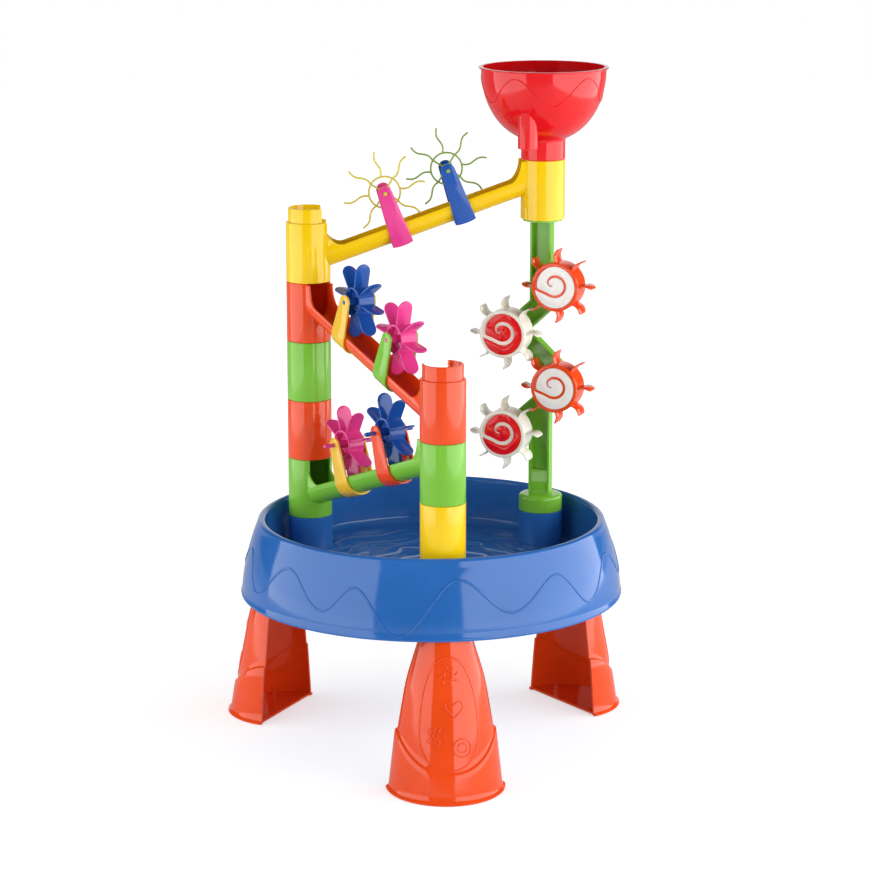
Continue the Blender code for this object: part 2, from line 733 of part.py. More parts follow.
def paddle_wheel_mesh(phase, offset, proud):
    """A drum with petal blades whose round ends follow the channel, and its axle."""
    outline = []
    half = BLADE_THICKNESS / 2
    pitch = 360 / BLADE_COUNT
    for i in range(BLADE_COUNT):
        along = polar(1, i * pitch)
        across = polar(1, i * pitch + 90)
        far = 2 * PADDLE_RADIUS
        for reach, side in ((PADDLE_HUB, -half), (far, -half), (far, half), (PADDLE_HUB, half)):
            outline.append((along * reach + across * side).to_2d())
        outline.append(polar(PADDLE_HUB, (i + 0.5) * pitch).to_2d())
    star = prism(outline, -PADDLE_WIDTH, PADDLE_WIDTH)
    round_end = PETAL_WIDTH / 2
    side = [(0, PADDLE_WIDTH / 2), (PADDLE_HUB + FIT, PADDLE_WIDTH / 2)]
    side.append((PADDLE_HUB + PETAL_ROOT, PETAL_WAIST / 2))
    barrel = [(radius, -height) for radius, height in side]
    for turn in arc(-90, 90, ARC_FACETS):
        barrel.append((PADDLE_RADIUS - round_end + round_end * math.cos(turn), round_end * math.sin(turn)))
    barrel += side[::-1]
    wheel = lying(combined(star, turned(barrel, WHEEL_FACETS), "INTERSECT"))
    turn = Matrix.Rotation(math.radians(phase - 90) - SLOPE, 4, "Y")
    wheel = moved(wheel, Matrix.Translation((0, offset, 0)) @ turn)
    play = STRAP_INSIDE - SIDE_PLAY
    return joined(wheel, axle(BOSS_RADIUS, -play, play, proud))


def sun_wheel_mesh(offset):
    """A wire ring with wavy rays and four spokes, on an axle between the bracket's plates."""
    half = SUN_WIRE / 2
    pitch = 360 / SUN_RAYS
    phase = SUN_PHASE - math.degrees(SLOPE)
    outer = SUN_RING + half
    outline = []
    for i in range(SUN_RAYS):
        along = polar(1, phase + i * pitch)
        across = polar(1, phase + i * pitch + 90)
        spine = []
        for k in range(RAY_FACETS + 1):
            share = k / RAY_FACETS
            wave = -SUN_WAVE * math.sin(math.tau * share)
            spine.append((outer - half + (SUN_RADIUS - outer + half) * share, wave))
        outline += [(along * reach + across * (wave - half)).to_2d() for reach, wave in spine]
        outline += [(along * reach + across * (wave + half)).to_2d() for reach, wave in reversed(spine)]
        for share in SUN_RIM_SHARES:
            outline.append(polar(outer, phase + (i + share) * pitch).to_2d())
    wheel = prism(outline, -half, half)
    inner = SUN_RING - half
    gap = 360 / SUN_SPOKES
    windows = []
    for i in range(SUN_SPOKES):
        first = phase + (i + 0.5) * gap
        wide = math.degrees(math.asin(half / inner))
        near = math.degrees(math.asin(half / SUN_HUB))
        sweep = arc(first + wide, first + gap - wide, ARC_FACETS)
        rim = [polar(inner, math.degrees(a)).to_2d() for a in sweep]
        core = [polar(SUN_HUB, math.degrees(a)).to_2d() for a in arc(first + gap - near, first + near, 2)]
        windows.append(prism(rim + core, -SUN_WIRE, SUN_WIRE))
    turned_round = Matrix.Rotation(math.pi, 4, "Z")
    wheel = moved(lying(cut(wheel, gathered(windows))), Matrix.Translation((0, offset, 0)) @ turned_round)
    play = STRAP_INSIDE - SIDE_PLAY
    return joined(wheel, axle(SUN_HUB - FIT, -play, play, SHORT_PIN))


def bar(first, last, half, bottom, top):
    """A square-ended bar of a half width between two (x, y) points, as a solid between two heights."""
    first, last = Vector(first), Vector(last)
    ahead = (last - first).normalized() * half
    side = Vector((-ahead.y, ahead.x))
    return prism([first - side, last - side, last + side, first + side], bottom, top)


def disc(centre, radius, bottom, top):
    """An upright round solid about an (x, y) point, between two heights."""
    shape = turned([(0, bottom), (radius, bottom), (radius, top), (0, top)], WHEEL_FACETS)
    return moved(shape, Matrix.Translation((*centre, 0)))


def swirl_places():
    """Side and height of each swirl wheel's axis on the post, from the top down."""
    places = []
    for i in range(SWIRL_COUNT):
        side = SWIRL_SIDE if i % 2 == 0 else -SWIRL_SIDE
        places.append((side, SWIRL_TOP - i * SWIRL_PITCH))
    return places


def zigzag(half, foot, crown, bottom, top):
    """The post's shape from the front: three slanting runs, with round corners, between two uprights."""
    corners = swirl_places()
    first_middle = (0, SWIRL_TOP - SWIRL_PITCH / 2)
    last_middle = (0, SWIRL_TOP - (SWIRL_COUNT - 1.5) * SWIRL_PITCH)
    shape = gathered([disc(corner, half + POST_CORNER, bottom, top) for corner in corners])
    for first, last in zip(corners, corners[1:]):
        shape = joined(shape, bar(first, last, half, bottom, top))
    neck = bar(first_middle, (0, crown), half, bottom, top)
    stem = bar(last_middle, (0, foot), half, bottom, top)
    return joined(shape, neck, stem)


def cascade_post_mesh():
    """A zigzag channel, open in front, on a base ring, with a plug inside the top tube."""
    corners = swirl_places()
    channel_floor = POST_REAR + WALL
    ahead = POST_FRONT + WALL
    boss_front = POST_FRONT - BOSS_SETBACK
    outside = zigzag(POST_WIDTH / 2, BASE_RING_HEIGHT - WALL / 2, POST_HEIGHT, POST_REAR, POST_FRONT)
    inside = zigzag(POST_WIDTH / 2 - WALL, NECK_TOP, POST_HEIGHT - 2 * WALL, channel_floor, ahead)
    body = cut(outside, inside)
    stubs = []
    for side, up in corners:
        foot = channel_floor - WALL / 2
        tip = POST_FRONT + SWIRL_BACK + SWIRL_DEPTH - INLAY_DEPTH - WALL - FIT
        stub = [(0, foot), (PIN_BOSS, foot), (PIN_BOSS, boss_front)]
        stub += [(PIN_RADIUS, boss_front), (PIN_RADIUS, tip), (0, tip)]
        stubs.append(moved(turned(stub, PIN_FACETS), Matrix.Translation((side, up, 0))))
    body = lying(joined(body, gathered(stubs)))
    base = [(0, 0), (TUBE_RADIUS, 0), (TUBE_RADIUS, BASE_RING_HEIGHT), (0, BASE_RING_HEIGHT)]
    socket_top = BASE_RING_HEIGHT - WALL
    socket = [(0, -WALL), (TUBE_BORE, -WALL), (TUBE_BORE, socket_top), (0, socket_top)]
    plug_top = POST_HEIGHT + CHANNEL_TOP - CHANNEL_BORE / math.cos(SLOPE) - WALL - FIT
    plug = [
        (0, POST_HEIGHT - WALL),
        (SPIGOT_RADIUS, POST_HEIGHT - WALL),
        (SPIGOT_RADIUS, plug_top),
        (SPIGOT_BORE, plug_top),
        (SPIGOT_BORE, POST_HEIGHT + WALL),
        (0, POST_HEIGHT + WALL),
    ]
    body = joined(body, turned(base, TUBE_FACETS), turned(plug, TUBE_FACETS))
    return cut(body, turned(socket, TUBE_FACETS))


def swirl_wheel_mesh():
    """A cup-shaped drum with curved vanes, its face towards +Z and its back at zero."""
    face = SWIRL_DEPTH - INLAY_DEPTH
    plate = face - WALL
    bore = PIN_RADIUS + FIT
    hub_back = FIT - SWIRL_BACK - BOSS_SETBACK
    drum = [
        (0, plate),
        (bore, plate),
        (bore, hub_back),
        (PIN_BOSS, hub_back),
        (PIN_BOSS, plate - WALL),
        (SWIRL_DRUM - WALL, plate),
        (SWIRL_DRUM - WALL, 0),
        (SWIRL_DRUM, 0),
        (SWIRL_DRUM, SWIRL_DEPTH),
        (SWIRL_DRUM - INLAY_RIM, SWIRL_DEPTH),
        (SWIRL_DRUM - INLAY_RIM, face),
        (0, face),
    ]
    half = WALL / 2
    pitch = 360 / BLADE_COUNT
    root = SWIRL_DRUM - half
    outline = []
    for i in range(BLADE_COUNT):
        along = polar(1, i * pitch)
        across = polar(1, i * pitch + 90)
        spine = []
        for k in range(VANE_FACETS + 1):
            share = k / VANE_FACETS
            bend = VANE_BULGE * math.sin(math.pi * share) - VANE_LEAN * share
            spine.append((root + (SWIRL_RADIUS - root) * share, bend))
        outline += [(along * reach + across * (bend - half)).to_2d() for reach, bend in spine]
        outline += [(along * reach + across * (bend + half)).to_2d() for reach, bend in reversed(spine)]
        outline.append(polar(root, (i + 0.5) * pitch).to_2d())
    vanes = prism(outline, VANE_INSET, plate)
    core = SWIRL_DRUM - WALL + half / 2
    opening = [(0, 0), (core, 0), (core, face), (0, face)]
    return joined(turned(drum, WHEEL_FACETS), cut(vanes, turned(opening, WHEEL_FACETS)))


def swirl_inlay_mesh(slot):
    """A disc with a spiral slot that runs in from its edge."""
    radius = (SWIRL_DRUM - INLAY_RIM) * math.cos(math.pi / WHEEL_FACETS) - FIT
    spine = []
    for k in range(SPIRAL_FACETS + 1):
        share = k / SPIRAL_FACETS
        swing = 2 * share - 1
        reach = radius * (SPIRAL_MIDDLE - SPIRAL_DRIFT * swing - SPIRAL_HOOK * swing**SPIRAL_POWER)
        spine.append(polar(reach, SPIRAL_START + SPIRAL_SWEEP * share).to_2d())
    left, right = [], []
    for k in range(1, SPIRAL_FACETS + 1):
        ahead = (spine[min(k + 1, SPIRAL_FACETS)] - spine[k - 1]).normalized()
        wide = slot / 2 * min(1, SPIRAL_TIP + SPIRAL_TAPER * (1 - k / SPIRAL_FACETS))
        normal = Vector((-ahead.y, ahead.x)) * wide
        left.append(spine[k] + normal)
        right.append(spine[k] - normal)
    mouth = math.degrees(slot / 2 / radius)
    around = arc(SPIRAL_START + mouth, SPIRAL_START + 360 - mouth, TUBE_FACETS)
    edge = [polar(radius, math.degrees(a)).to_2d() for a in around]
    face = SWIRL_DEPTH - INLAY_DEPTH
    return prism(edge + left + right[::-1], face + FIT, SWIRL_DEPTH + FIT)


def funnel_mesh():
    """A deep bowl on a neck that fits the top tube, with a spout that pours over the cascade."""

    def drop(share):
        """How deep the bowl is, as a share of its depth, at a share of its radius."""
        return (1 - share**BOWL_FULLNESS) ** (1 / BOWL_FULLNESS)

    def bowl(radius, depth, first):
        start = math.asin(first / radius)
        points = []
        for i in range(ARC_FACETS + 3):
            share = math.sin(start + (math.pi / 2 - start) * i / (ARC_FACETS + 2))
            points.append((radius * share, FUNNEL_HEIGHT - depth * drop(share)))
        return points

    outside = bowl(BOWL_RADIUS, BOWL_DEPTH, TUBE_RADIUS)[:-1]
    lip_bottom = FUNNEL_HEIGHT - LIP_HEIGHT
    outline = [(0, 0), (TUBE_RADIUS, 0), *outside, (BOWL_RADIUS, lip_bottom)]
    lip = BOWL_RADIUS + LIP_WIDTH
    outline += [(lip, lip_bottom), (lip, FUNNEL_HEIGHT), (0, FUNNEL_HEIGHT)]
    bore = BOWL_RADIUS - WALL
    hollow = bowl(bore, BOWL_DEPTH - WALL, DRAIN_RADIUS)
    hollow += [(bore, FUNNEL_HEIGHT + WALL), (0, FUNNEL_HEIGHT + WALL)]
    drain = [(0, -WALL), (TUBE_BORE, -WALL), (TUBE_BORE, FUNNEL_SOCKET), (DRAIN_RADIUS, FUNNEL_SOCKET)]
    spout_top = FUNNEL_HEIGHT - BOWL_DEPTH * drop((SPOUT_REACH + SPOUT_RADIUS) / BOWL_RADIUS)
    aim = Matrix.Translation(polar(SPOUT_REACH, POST_FACING - 90))
    spout_bore = SPOUT_RADIUS - WALL
    pipe_top = spout_top + WALL
    pipe = [(0, SPOUT_BOTTOM), (SPOUT_RADIUS, SPOUT_BOTTOM), (SPOUT_RADIUS, pipe_top), (0, pipe_top)]
    pour = [(0, SPOUT_BOTTOM - WALL), (spout_bore, SPOUT_BOTTOM - WALL)]
    pour += [(spout_bore, spout_top + 2 * WALL), (0, spout_top + 2 * WALL)]
    body = joined(turned(outline, BOWL_FACETS), moved(turned(pipe, TUBE_FACETS // 2), aim))
    return cut(body, turned(drain + hollow, BOWL_FACETS), moved(turned(pour, TUBE_FACETS // 2), aim))


def column_place(column, module):
    """The middle of a column at the bottom of a module."""
    return polar(COLUMN_RADIUS, COLUMN_ANGLE[column], STACK_BOTTOM + module * MODULE_HEIGHT)


def upright(column, module, turn=0):
    return Matrix.Translation(column_place(column, module)) @ Matrix.Rotation(math.radians(turn), 4, "Z")


def add_spinner(
    trough, bracket_name, bracket_data, bracket_colour, along, wheel_name, wheel_data, wheel_colour, pivot
):
    """A bracket clipped on a trough's channel and the wheel that spins in it."""
    holder = piece(bracket_name, bracket_data, bracket_colour, trough, channel_place(along))
    piece(wheel_name, wheel_data, wheel_colour, holder, Matrix.Translation((0, 0, pivot)))


def build():
    for old in list(bpy.data.objects):
        bpy.data.objects.remove(old)
    root = bpy.data.objects.new("water_table", None)
    bpy.context.scene.collection.objects.link(root)
    root.location = (0, FRAME_SHIFT, 0)

    piece("basin", basin_mesh(), "blue", root)
    leg = leg_mesh()
    for column, angle in COLUMN_ANGLE.items():
        piece(f"leg_{column}", leg, "orange", root, Matrix.Rotation(math.radians(angle), 4, "Z"))

    ring = ring_mesh()
    piece("left_ring_orange", ring, "orange", root, upright("left", 1))
    piece("left_ring_green", ring, "green", root, upright("left", 2))
    piece("front_ring_yellow", ring, "yellow", root, upright("front", 0))

    trough = trough_mesh()
    troughs = {}
    for colour, high, low, module in (
        ("green", "front", "left", 1),
        ("orange", "left", "front", 3),
        ("yellow", "right", "left", 5),
    ):
        heading = column_place(low, 0) - column_place(high, 0)
        turn = math.degrees(math.atan2(heading.y, heading.x))
        troughs[colour] = piece(f"{colour}_trough", trough, colour, root, upright(high, module, turn))

    spacing = 2 * PADDLE_RADIUS + PADDLE_GAP
    middle = CHANNEL_LENGTH / 2
    paddle_bracket = paddle_bracket_mesh()
    paddles = (
        ("orange", -1, "amber", "blue"),
        ("orange", 1, "green", "pink"),
        ("green", -1, "orange", "blue"),
        ("green", 1, "amber", "pink"),
    )
    upper = paddle_wheel_mesh(UPPER_PHASE, PADDLE_OFFSET, SHORT_PIN)
    lower = paddle_wheel_mesh(LOWER_PHASE, -PADDLE_OFFSET, LONG_PIN)
    for number, (trough_colour, end, strap_colour, wheel_colour) in enumerate(paddles, 1):
        shift = UPPER_SHIFT if trough_colour == "orange" else LOWER_SHIFT
        add_spinner(
            troughs[trough_colour],
            f"paddle_bracket_{number}",
            paddle_bracket,
            strap_colour,
            middle + shift + end * spacing / 2,
            f"paddle_wheel_{number}",
            upper if trough_colour == "orange" else lower,
            wheel_colour,
            PADDLE_PIVOT,
        )

    sun_bracket = sun_bracket_mesh()
    for end, strap_colour, wheel_colour in ((-1, "blue", "green"), (1, "pink", "yellow")):
        add_spinner(
            troughs["yellow"],
            f"sun_bracket_{strap_colour}",
            sun_bracket,
            strap_colour,
            middle + SUN_SHIFT + end * SUN_SPACING / 2,
            f"sun_wheel_{wheel_colour}",
            sun_wheel_mesh(end * SUN_OFFSET),
            f"sun_{wheel_colour}",
            SUN_PIVOT,
        )

    post = piece("cascade_post", cascade_post_mesh(), "green", root, upright("right", 0, POST_FACING))
    wheel = swirl_wheel_mesh()
    to_front = Matrix.Rotation(math.radians(90), 4, "X")
    for number, (side, up) in enumerate(swirl_places(), 1):
        body, spiral = ("orange", "white") if number % 2 else ("cream", "red")
        place = Matrix.Translation((side, -POST_FRONT - SWIRL_BACK, up)) @ to_front
        spinner = piece(f"swirl_wheel_{number}", wheel, body, post, place)
        piece(f"swirl_inlay_{number}", swirl_inlay_mesh(SPIRAL_SLOT[body]), spiral, spinner)

    piece("funnel", funnel_mesh(), "red", root, upright("right", 6))
    for unused in list(bpy.data.meshes):
        if unused.users == 0:
            bpy.data.meshes.remove(unused)


build()
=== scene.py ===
import json
from functools import cache
from math import asin, atan2, copysign, cos, degrees, pi, radians, sin, sqrt, tan, tau

import bmesh
import bpy
from mathutils import Matrix, Vector


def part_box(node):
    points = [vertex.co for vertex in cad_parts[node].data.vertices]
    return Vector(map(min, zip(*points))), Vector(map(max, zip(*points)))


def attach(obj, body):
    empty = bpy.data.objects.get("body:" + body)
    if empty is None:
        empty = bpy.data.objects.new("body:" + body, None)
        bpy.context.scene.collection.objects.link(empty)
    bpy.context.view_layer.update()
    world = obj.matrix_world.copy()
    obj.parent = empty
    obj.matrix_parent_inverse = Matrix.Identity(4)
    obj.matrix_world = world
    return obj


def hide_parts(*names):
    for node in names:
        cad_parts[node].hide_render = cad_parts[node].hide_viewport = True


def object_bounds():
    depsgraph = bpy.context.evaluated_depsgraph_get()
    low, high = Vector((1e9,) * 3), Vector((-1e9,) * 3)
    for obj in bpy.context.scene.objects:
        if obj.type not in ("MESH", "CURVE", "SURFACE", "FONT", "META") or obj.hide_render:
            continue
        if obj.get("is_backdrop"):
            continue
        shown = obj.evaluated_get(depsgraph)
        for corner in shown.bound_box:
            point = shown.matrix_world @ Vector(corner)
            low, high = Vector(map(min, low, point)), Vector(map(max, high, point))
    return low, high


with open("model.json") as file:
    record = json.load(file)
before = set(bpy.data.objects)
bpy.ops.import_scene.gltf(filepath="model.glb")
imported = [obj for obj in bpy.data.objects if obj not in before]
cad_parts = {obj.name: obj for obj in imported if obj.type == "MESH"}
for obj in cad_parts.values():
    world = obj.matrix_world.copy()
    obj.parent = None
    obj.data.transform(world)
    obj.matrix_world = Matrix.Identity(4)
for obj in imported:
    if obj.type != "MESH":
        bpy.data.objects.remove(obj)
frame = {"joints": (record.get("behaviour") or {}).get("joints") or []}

CAD_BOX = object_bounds()

# Columns of stacked tube segments
COLUMN_RADIUS = 0.172
COLUMN_ANGLE = {"front": -90, "right": 30, "left": 150}
MODULE_HEIGHT = 0.076
TUBE_RADIUS = 0.028
WALL = 0.0024
FIT = 0.0003
PLUG_FIT = 0.0005
SPIGOT_HEIGHT = 0.018
SHOULDER = 0.003
EDGE = 0.0009

# Basin
RIM_CLEARANCE = 0.009
RIM_WIDTH = 0.010
RIM_HEIGHT = 0.2864
RIM_ROLL = 0.0044
SKIRT_FLARE = 0.021
SKIRT_POWER = 1.75
SKIRT_BOTTOM = 0.190
SKIRT_BEAD = 0.0012
BEAD_SHARE = 0.7
BEAD_HEIGHT = 0.005
BASIN_WALL = 0.003
WALL_DRAFT = 0.003
FLOOR_HEIGHT = 0.225
FLOOR_FILLET = 0.010
PEDESTAL_HEIGHT = 0.045
PEDESTAL_FILLET = 0.004
PEDESTAL_ROUND = 0.0024
OUTLET_WIDTH = 0.016
OUTLET_HEIGHT = 0.014
OUTLET_SILL = 0.001
OUTLET_ANGLE = 60

# The wave embossed round the skirt: degrees from the camera's side, and share of the skirt's height
WAVE = (
    (-49.2, 0.69), (-34, 0.28), (-23.7, 0.62), (-9.4, 0.055),
    (8.2, 0.755), (24.7, 0.315), (41.8, 0.68), (54.6, 0.23),
)
WAVE_REPEAT = 120
WAVE_WIDTH = 0.0030
WAVE_RAISED = 0.0009

# Low ripples on the basin's floor: radius, waves round it and how far they swing
RIPPLES = ((0.040, 5, 0.005), (0.076, 7, 0.006), (0.112, 9, 0.007), (0.148, 12, 0.006))
RIPPLE_WIDTH = 0.030
RIPPLE_RAISED = 0.0020

# Legs: half ovals, open towards the basin's axis
LEG_SETBACK = 0.001
LEG_WALL = 0.003
LEG_KNEE_HEIGHT = 0.075
# Height, half width and depth on the ground, at the knee and at the waist
LEG_STATIONS = ((0, 0.067, 0.072), (LEG_KNEE_HEIGHT, 0.0585, 0.059), (0.137, 0.048, 0.047))
LEG_NECK_HALF_WIDTH = 0.032
LEG_TOP_HALF_WIDTH = 0.0245
LEG_SOFTNESS = 0.006
LEG_SKIRT_GAP = 0.0015
LEG_STEP = 0.003
LEG_STEP_SLOPE = 0.0015
LEG_FLANGE = 0.0035
LEG_FLANGE_HEIGHT = 0.003
LEG_PLATE_LIFT = 0.001
LEG_PANEL_BOTTOM = 0.037
LEG_PANEL_POWER = 1.3
EGG_TOP = 0.172
EGG_WAIST = 0.078
EGG_BOTTOM = 0.040
EGG_HALF_WIDTH = 0.0355
EGG_FULLNESS = 0.85
EGG_RIDGE = 0.0026
EGG_RAISED = 0.0009

# Motifs on a leg's panel: degrees round the leg and height of each, and its sizes
MOTIF_RIDGE = 0.0019
MOTIF_RAISED = 0.0010
SUN_PLACE = (0, 0.152)
RAY_COUNT = 8
RAY_POINTS = 6
RAY_START = 0.0070
RAY_STEP = 0.0011
RAY_BEND = 4
HEART_PLACE = (7, 0.114)
HEART_HALF_WIDTH = 0.0108
HEART_SCALE = 0.00068
FLOWER_PLACE = (-17, 0.081)
RINGS_PLACE = (15, 0.067)
# Round motifs: place, radius, waves round it and how far they swing
ROUND_MOTIFS = (
    (SUN_PLACE, 0.0050, 0, 0),
    (FLOWER_PLACE, 0.0092, 5, 0.0028),
    (FLOWER_PLACE, 0.0032, 0, 0),
    (RINGS_PLACE, 0.0108, 0, 0),
    (RINGS_PLACE, 0.0056, 0, 0),
)

# Troughs
CHANNEL_RADIUS = 0.018
CHANNEL_RIM = 0.0045
HIGH_ENTRY = 0.028
LOW_ENTRY = 0.019
HIGH_FILLET = 0.022
LOW_FILLET = 0.034
HIGH_REACH = 0.014
LOW_REACH = 0.020
SLOT_EXTRA = 0.0005
SLOT_REACH = 0.017

# Clip-on brackets and their wheels
STRAP = 0.0026
STRAP_TOP_WIDTH = 0.019
STRAP_WIDTH = 0.028
STRAP_EDGE = 0.0007
STRAP_TOP_ANGLE = 78
AXLE_RADIUS = 0.0025
PADDLE_PIVOT = 0.0468
PADDLE_RADIUS = 0.048
PADDLE_WIDTH = 0.023
PADDLE_RECESS = 0.0085
PADDLE_HUB = 0.018
PETAL_WIDTH = 0.021
PETAL_WAIST = 0.0205
PETAL_THICKNESS = 0.0026
PETAL_EDGE = 0.000975
BLADE_COUNT = 8
BOSS_RADIUS = 0.005
SIDE_PLAY = 0.0004
SHORT_PIN = 0.0006
SUN_PIVOT = 0.0471
SUN_TOP_WIDTH = 0.018
SUN_FOOT_WIDTH = 0.027
SUN_FOOT_DROP = 0.0034
SUN_FOOT_BOW = 0.0014
SUN_RING = 0.020
SUN_RADIUS = 0.053
SUN_WIRE = 0.0024
SUN_WAVE = 0.0022
SUN_RAYS = 8
SUN_SPOKES = 4
SUN_HUB = 0.005
SUN_OFFSET = 0.006
SUN_PHASE = 14.5

# On each trough with paddle wheels: their phase in degrees, their offset, and how far their pins stand out
PADDLES = {"orange": (12, 0.002, SHORT_PIN), "green": (17.5, -0.002, 0.014)}

# On each trough: a bracket and its colour, and the wheel that spins in it and its colour
SPINNERS = {
    "orange": (
        ("paddle_bracket_1", "amber", "paddle_wheel_1", "blue"),
        ("paddle_bracket_2", "green", "paddle_wheel_2", "pink"),
    ),
    "green": (
        ("paddle_bracket_3", "orange", "paddle_wheel_3", "blue"),
        ("paddle_bracket_4", "amber", "paddle_wheel_4", "pink"),
    ),
    "yellow": (
        ("sun_bracket_blue", "blue", "sun_wheel_green", "sun_green"),
        ("sun_bracket_pink", "pink", "sun_wheel_yellow", "sun_yellow"),
    ),
}

# Cascade post and its swirl wheels
POST_MODULES = 5
POST_FACING = -27
POST_WIDTH = 0.028
POST_CORNER = 0.001
POST_REAR = -0.005
POST_FRONT = 0.0075
BASE_RING_HEIGHT = 0.0215
BASE_ROUND = 0.005
NECK_TOP = 0.053
BLOCK_SETBACK = 0.0022
SWIRL_COUNT = 4
SWIRL_SIDE = 0.035
SWIRL_PITCH = 0.065
SWIRL_TOP = 0.301
SWIRL_RADIUS = 0.047
SWIRL_DRUM = 0.031
SWIRL_DEPTH = 0.030
SWIRL_BACK = 0.0132
SWIRL_ROUND = 0.0016
VANE_THICKNESS = 0.0018
VANE_EDGE = 0.00054
VANE_BULGE = 0.0030
VANE_LEAN = 0.001
VANE_INSET = 0.0015
VANE_CORNER = 0.005
VANE_TIP = 0.02
INLAY_RIM = 0.0042
INLAY_DEPTH = 0.0016

# The spiral slot of an inlay: lengths as shares of its radius, but widths in metres by the drum's colour
SPIRAL_START = 187
SPIRAL_SWEEP = 360
SPIRAL_MIDDLE = 0.475
SPIRAL_DRIFT = 0.02
SPIRAL_ENTRY = 0.50
SPIRAL_CURL = 0.30
SPIRAL_POWER = 11
SPIRAL_SHIFT = (0.05, 0.06)
SPIRAL_SLOT = {"orange": 0.0035, "cream": 0.0048}
SPIRAL_ONSET = 3
SPIRAL_TIP = 0.35
SPIRAL_TAPER = 3
SPIRAL_TUCK = 0.0032
SPIRAL_TUCK_SWEEP = 110
PIN_RADIUS = 0.002
PIN_BOSS = 0.0055
BOSS_SETBACK = 0.001

# Funnel
BOWL_RADIUS = 0.079
BOWL_DEPTH = 0.095
BOWL_FULLNESS = 2.15
FUNNEL_HEIGHT = 0.116
LIP_WIDTH = 0.003
LIP_HEIGHT = 0.002
DRAIN_RADIUS = 0.012
FUNNEL_SOCKET = 0.0186
SPOUT_REACH = 0.0555
SPOUT_RADIUS = 0.0125
SPOUT_BOTTOM = 0.019
BOWL_WAVES = 5
BOWL_WAVE_PEAK = -29
BOWL_WAVE_DROP = 0.0262
BOWL_WAVE_SWING = 0.0167
BOWL_WAVE_WIDTH = 0.0018
BOWL_WAVE_RAISED = 0.00072
NECK_ROUND = 0.003

# Facets round a circle, or steps along a form
BASIN_FACETS = 160
TUBE_FACETS = 64
BOWL_FACETS = 96
FLOOR_FACETS = 96
WHEEL_FACETS = 72
PIN_FACETS = 20
WIRE_FACETS = 12
ARC_FACETS = 10
CHANNEL_FACETS = 25
ROUND_FACETS = 4
RIB_FACETS = 6
SHORT_STEPS = 6
FILLET_STEPS = 8
SWEEP_STEPS = 12
LONG_STEPS = 14
BOW_STEPS = 16
PETAL_STEPS = 18
TALL_STEPS = 24
LEG_STEPS = 48
LOOP_POINTS = 60
EGG_POINTS = 72
WAVE_POINTS = 120
LINE_POINTS = 240

# A rib's size at its end and its growth at each point from there, and how a wire's end rounds off
RIB_TIP = 0.35
RIB_TAPER = 0.4
WIRE_CAP = ((0.30, 0.95), (0.70, 0.71), (0.95, 0.30))

# Points closer than this are one point, faces within this angle are one face, and steeper edges are sharp
MERGE = 0.000003
FLATNESS = radians(0.05)
SHARP = radians(34)
# Steps from which a surface's slope is read
SKIRT_PROBE = 0.000003
LEG_PROBE = 0.001
BOWL_PROBE = 0.0005

# The photograph's camera: where it looks, its direction from there in degrees, its distance and lens
LOOK_AT = (0.00476, 0, 0.38995)
CAMERA_AZIMUTH = -94.75
CAMERA_ELEVATION = 12.69
CAMERA_DISTANCE = 3.78813
CAMERA_LENS = 124.73
CAMERA_REACH = 50
SENSOR = 36

# Studio: softboxes by degrees from the camera, degrees wide and watts, the room's light, and the floor
LEFT_SOFTBOX = (-71, 78, 26)
RIGHT_SOFTBOX = (72, 108, 56)
SOFTBOX_DISTANCE = 1.65
SOFTBOX_HEIGHT = 1.35
FILL_LIGHT = 0.34
FILL_COLOUR = (0.97, 0.985, 1, 1)
WHITE = (1, 1, 1, 1)
ROOM_LIGHT = 0.05
GLOSSY_SHARE = 0.15
ROOM_EDGE = (0.8, 0.95)
FLOOR_RADIUS = 8
FLOOR_TOP = -0.0005
FLOOR_BOTTOM = -0.02
FLOOR_COLOUR = (0.7, 0.7, 0.7, 1)
FLOOR_ROUGHNESS = 0.7
FLOOR_SHINE = 0.1
# The floor's own white, near the object and far from it, so that its shadow stays and no horizon shows
FLOOR_GLOW = (0.56, 0.88)
FLOOR_FADE = (0.35, 1.8)

# Plastics: sRGB colour of each
COLOURS = {
    "tub_blue": (42, 103, 180),
    "blue": (28, 84, 172),
    "orange": (240, 76, 20),
    "green": (124, 195, 56),
    "yellow": (254, 208, 8),
    "red": (232, 16, 24),
    "pink": (236, 66, 148),
    "cream": (243, 241, 228),
    "white": (250, 248, 244),
    "sun_yellow": (216, 201, 58),
    "sun_green": (143, 176, 78),
    "amber": (245, 194, 46),
}
# The slot of the record that a shade belongs to, where their names differ
SHADE_OF = {"tub_blue": "blue"}
PLASTIC_IOR = 1.47
# Scale and detail of the colour's flow marks, the uneven gloss and the grain, and what each does
FLOW = (14, 3)
FLOW_DARK = 0.93
FLOW_LIGHT = 1.04
FLOW_LIFT = 0.004
GLOSS = (45, 4)
ROUGHNESS = (0.05, 0.10)
GRAIN = (700, 2)
GRAIN_STRENGTH = 0.06
GRAIN_HEIGHT = 0.0004
NOISE_RANGE = (0.3, 0.7)

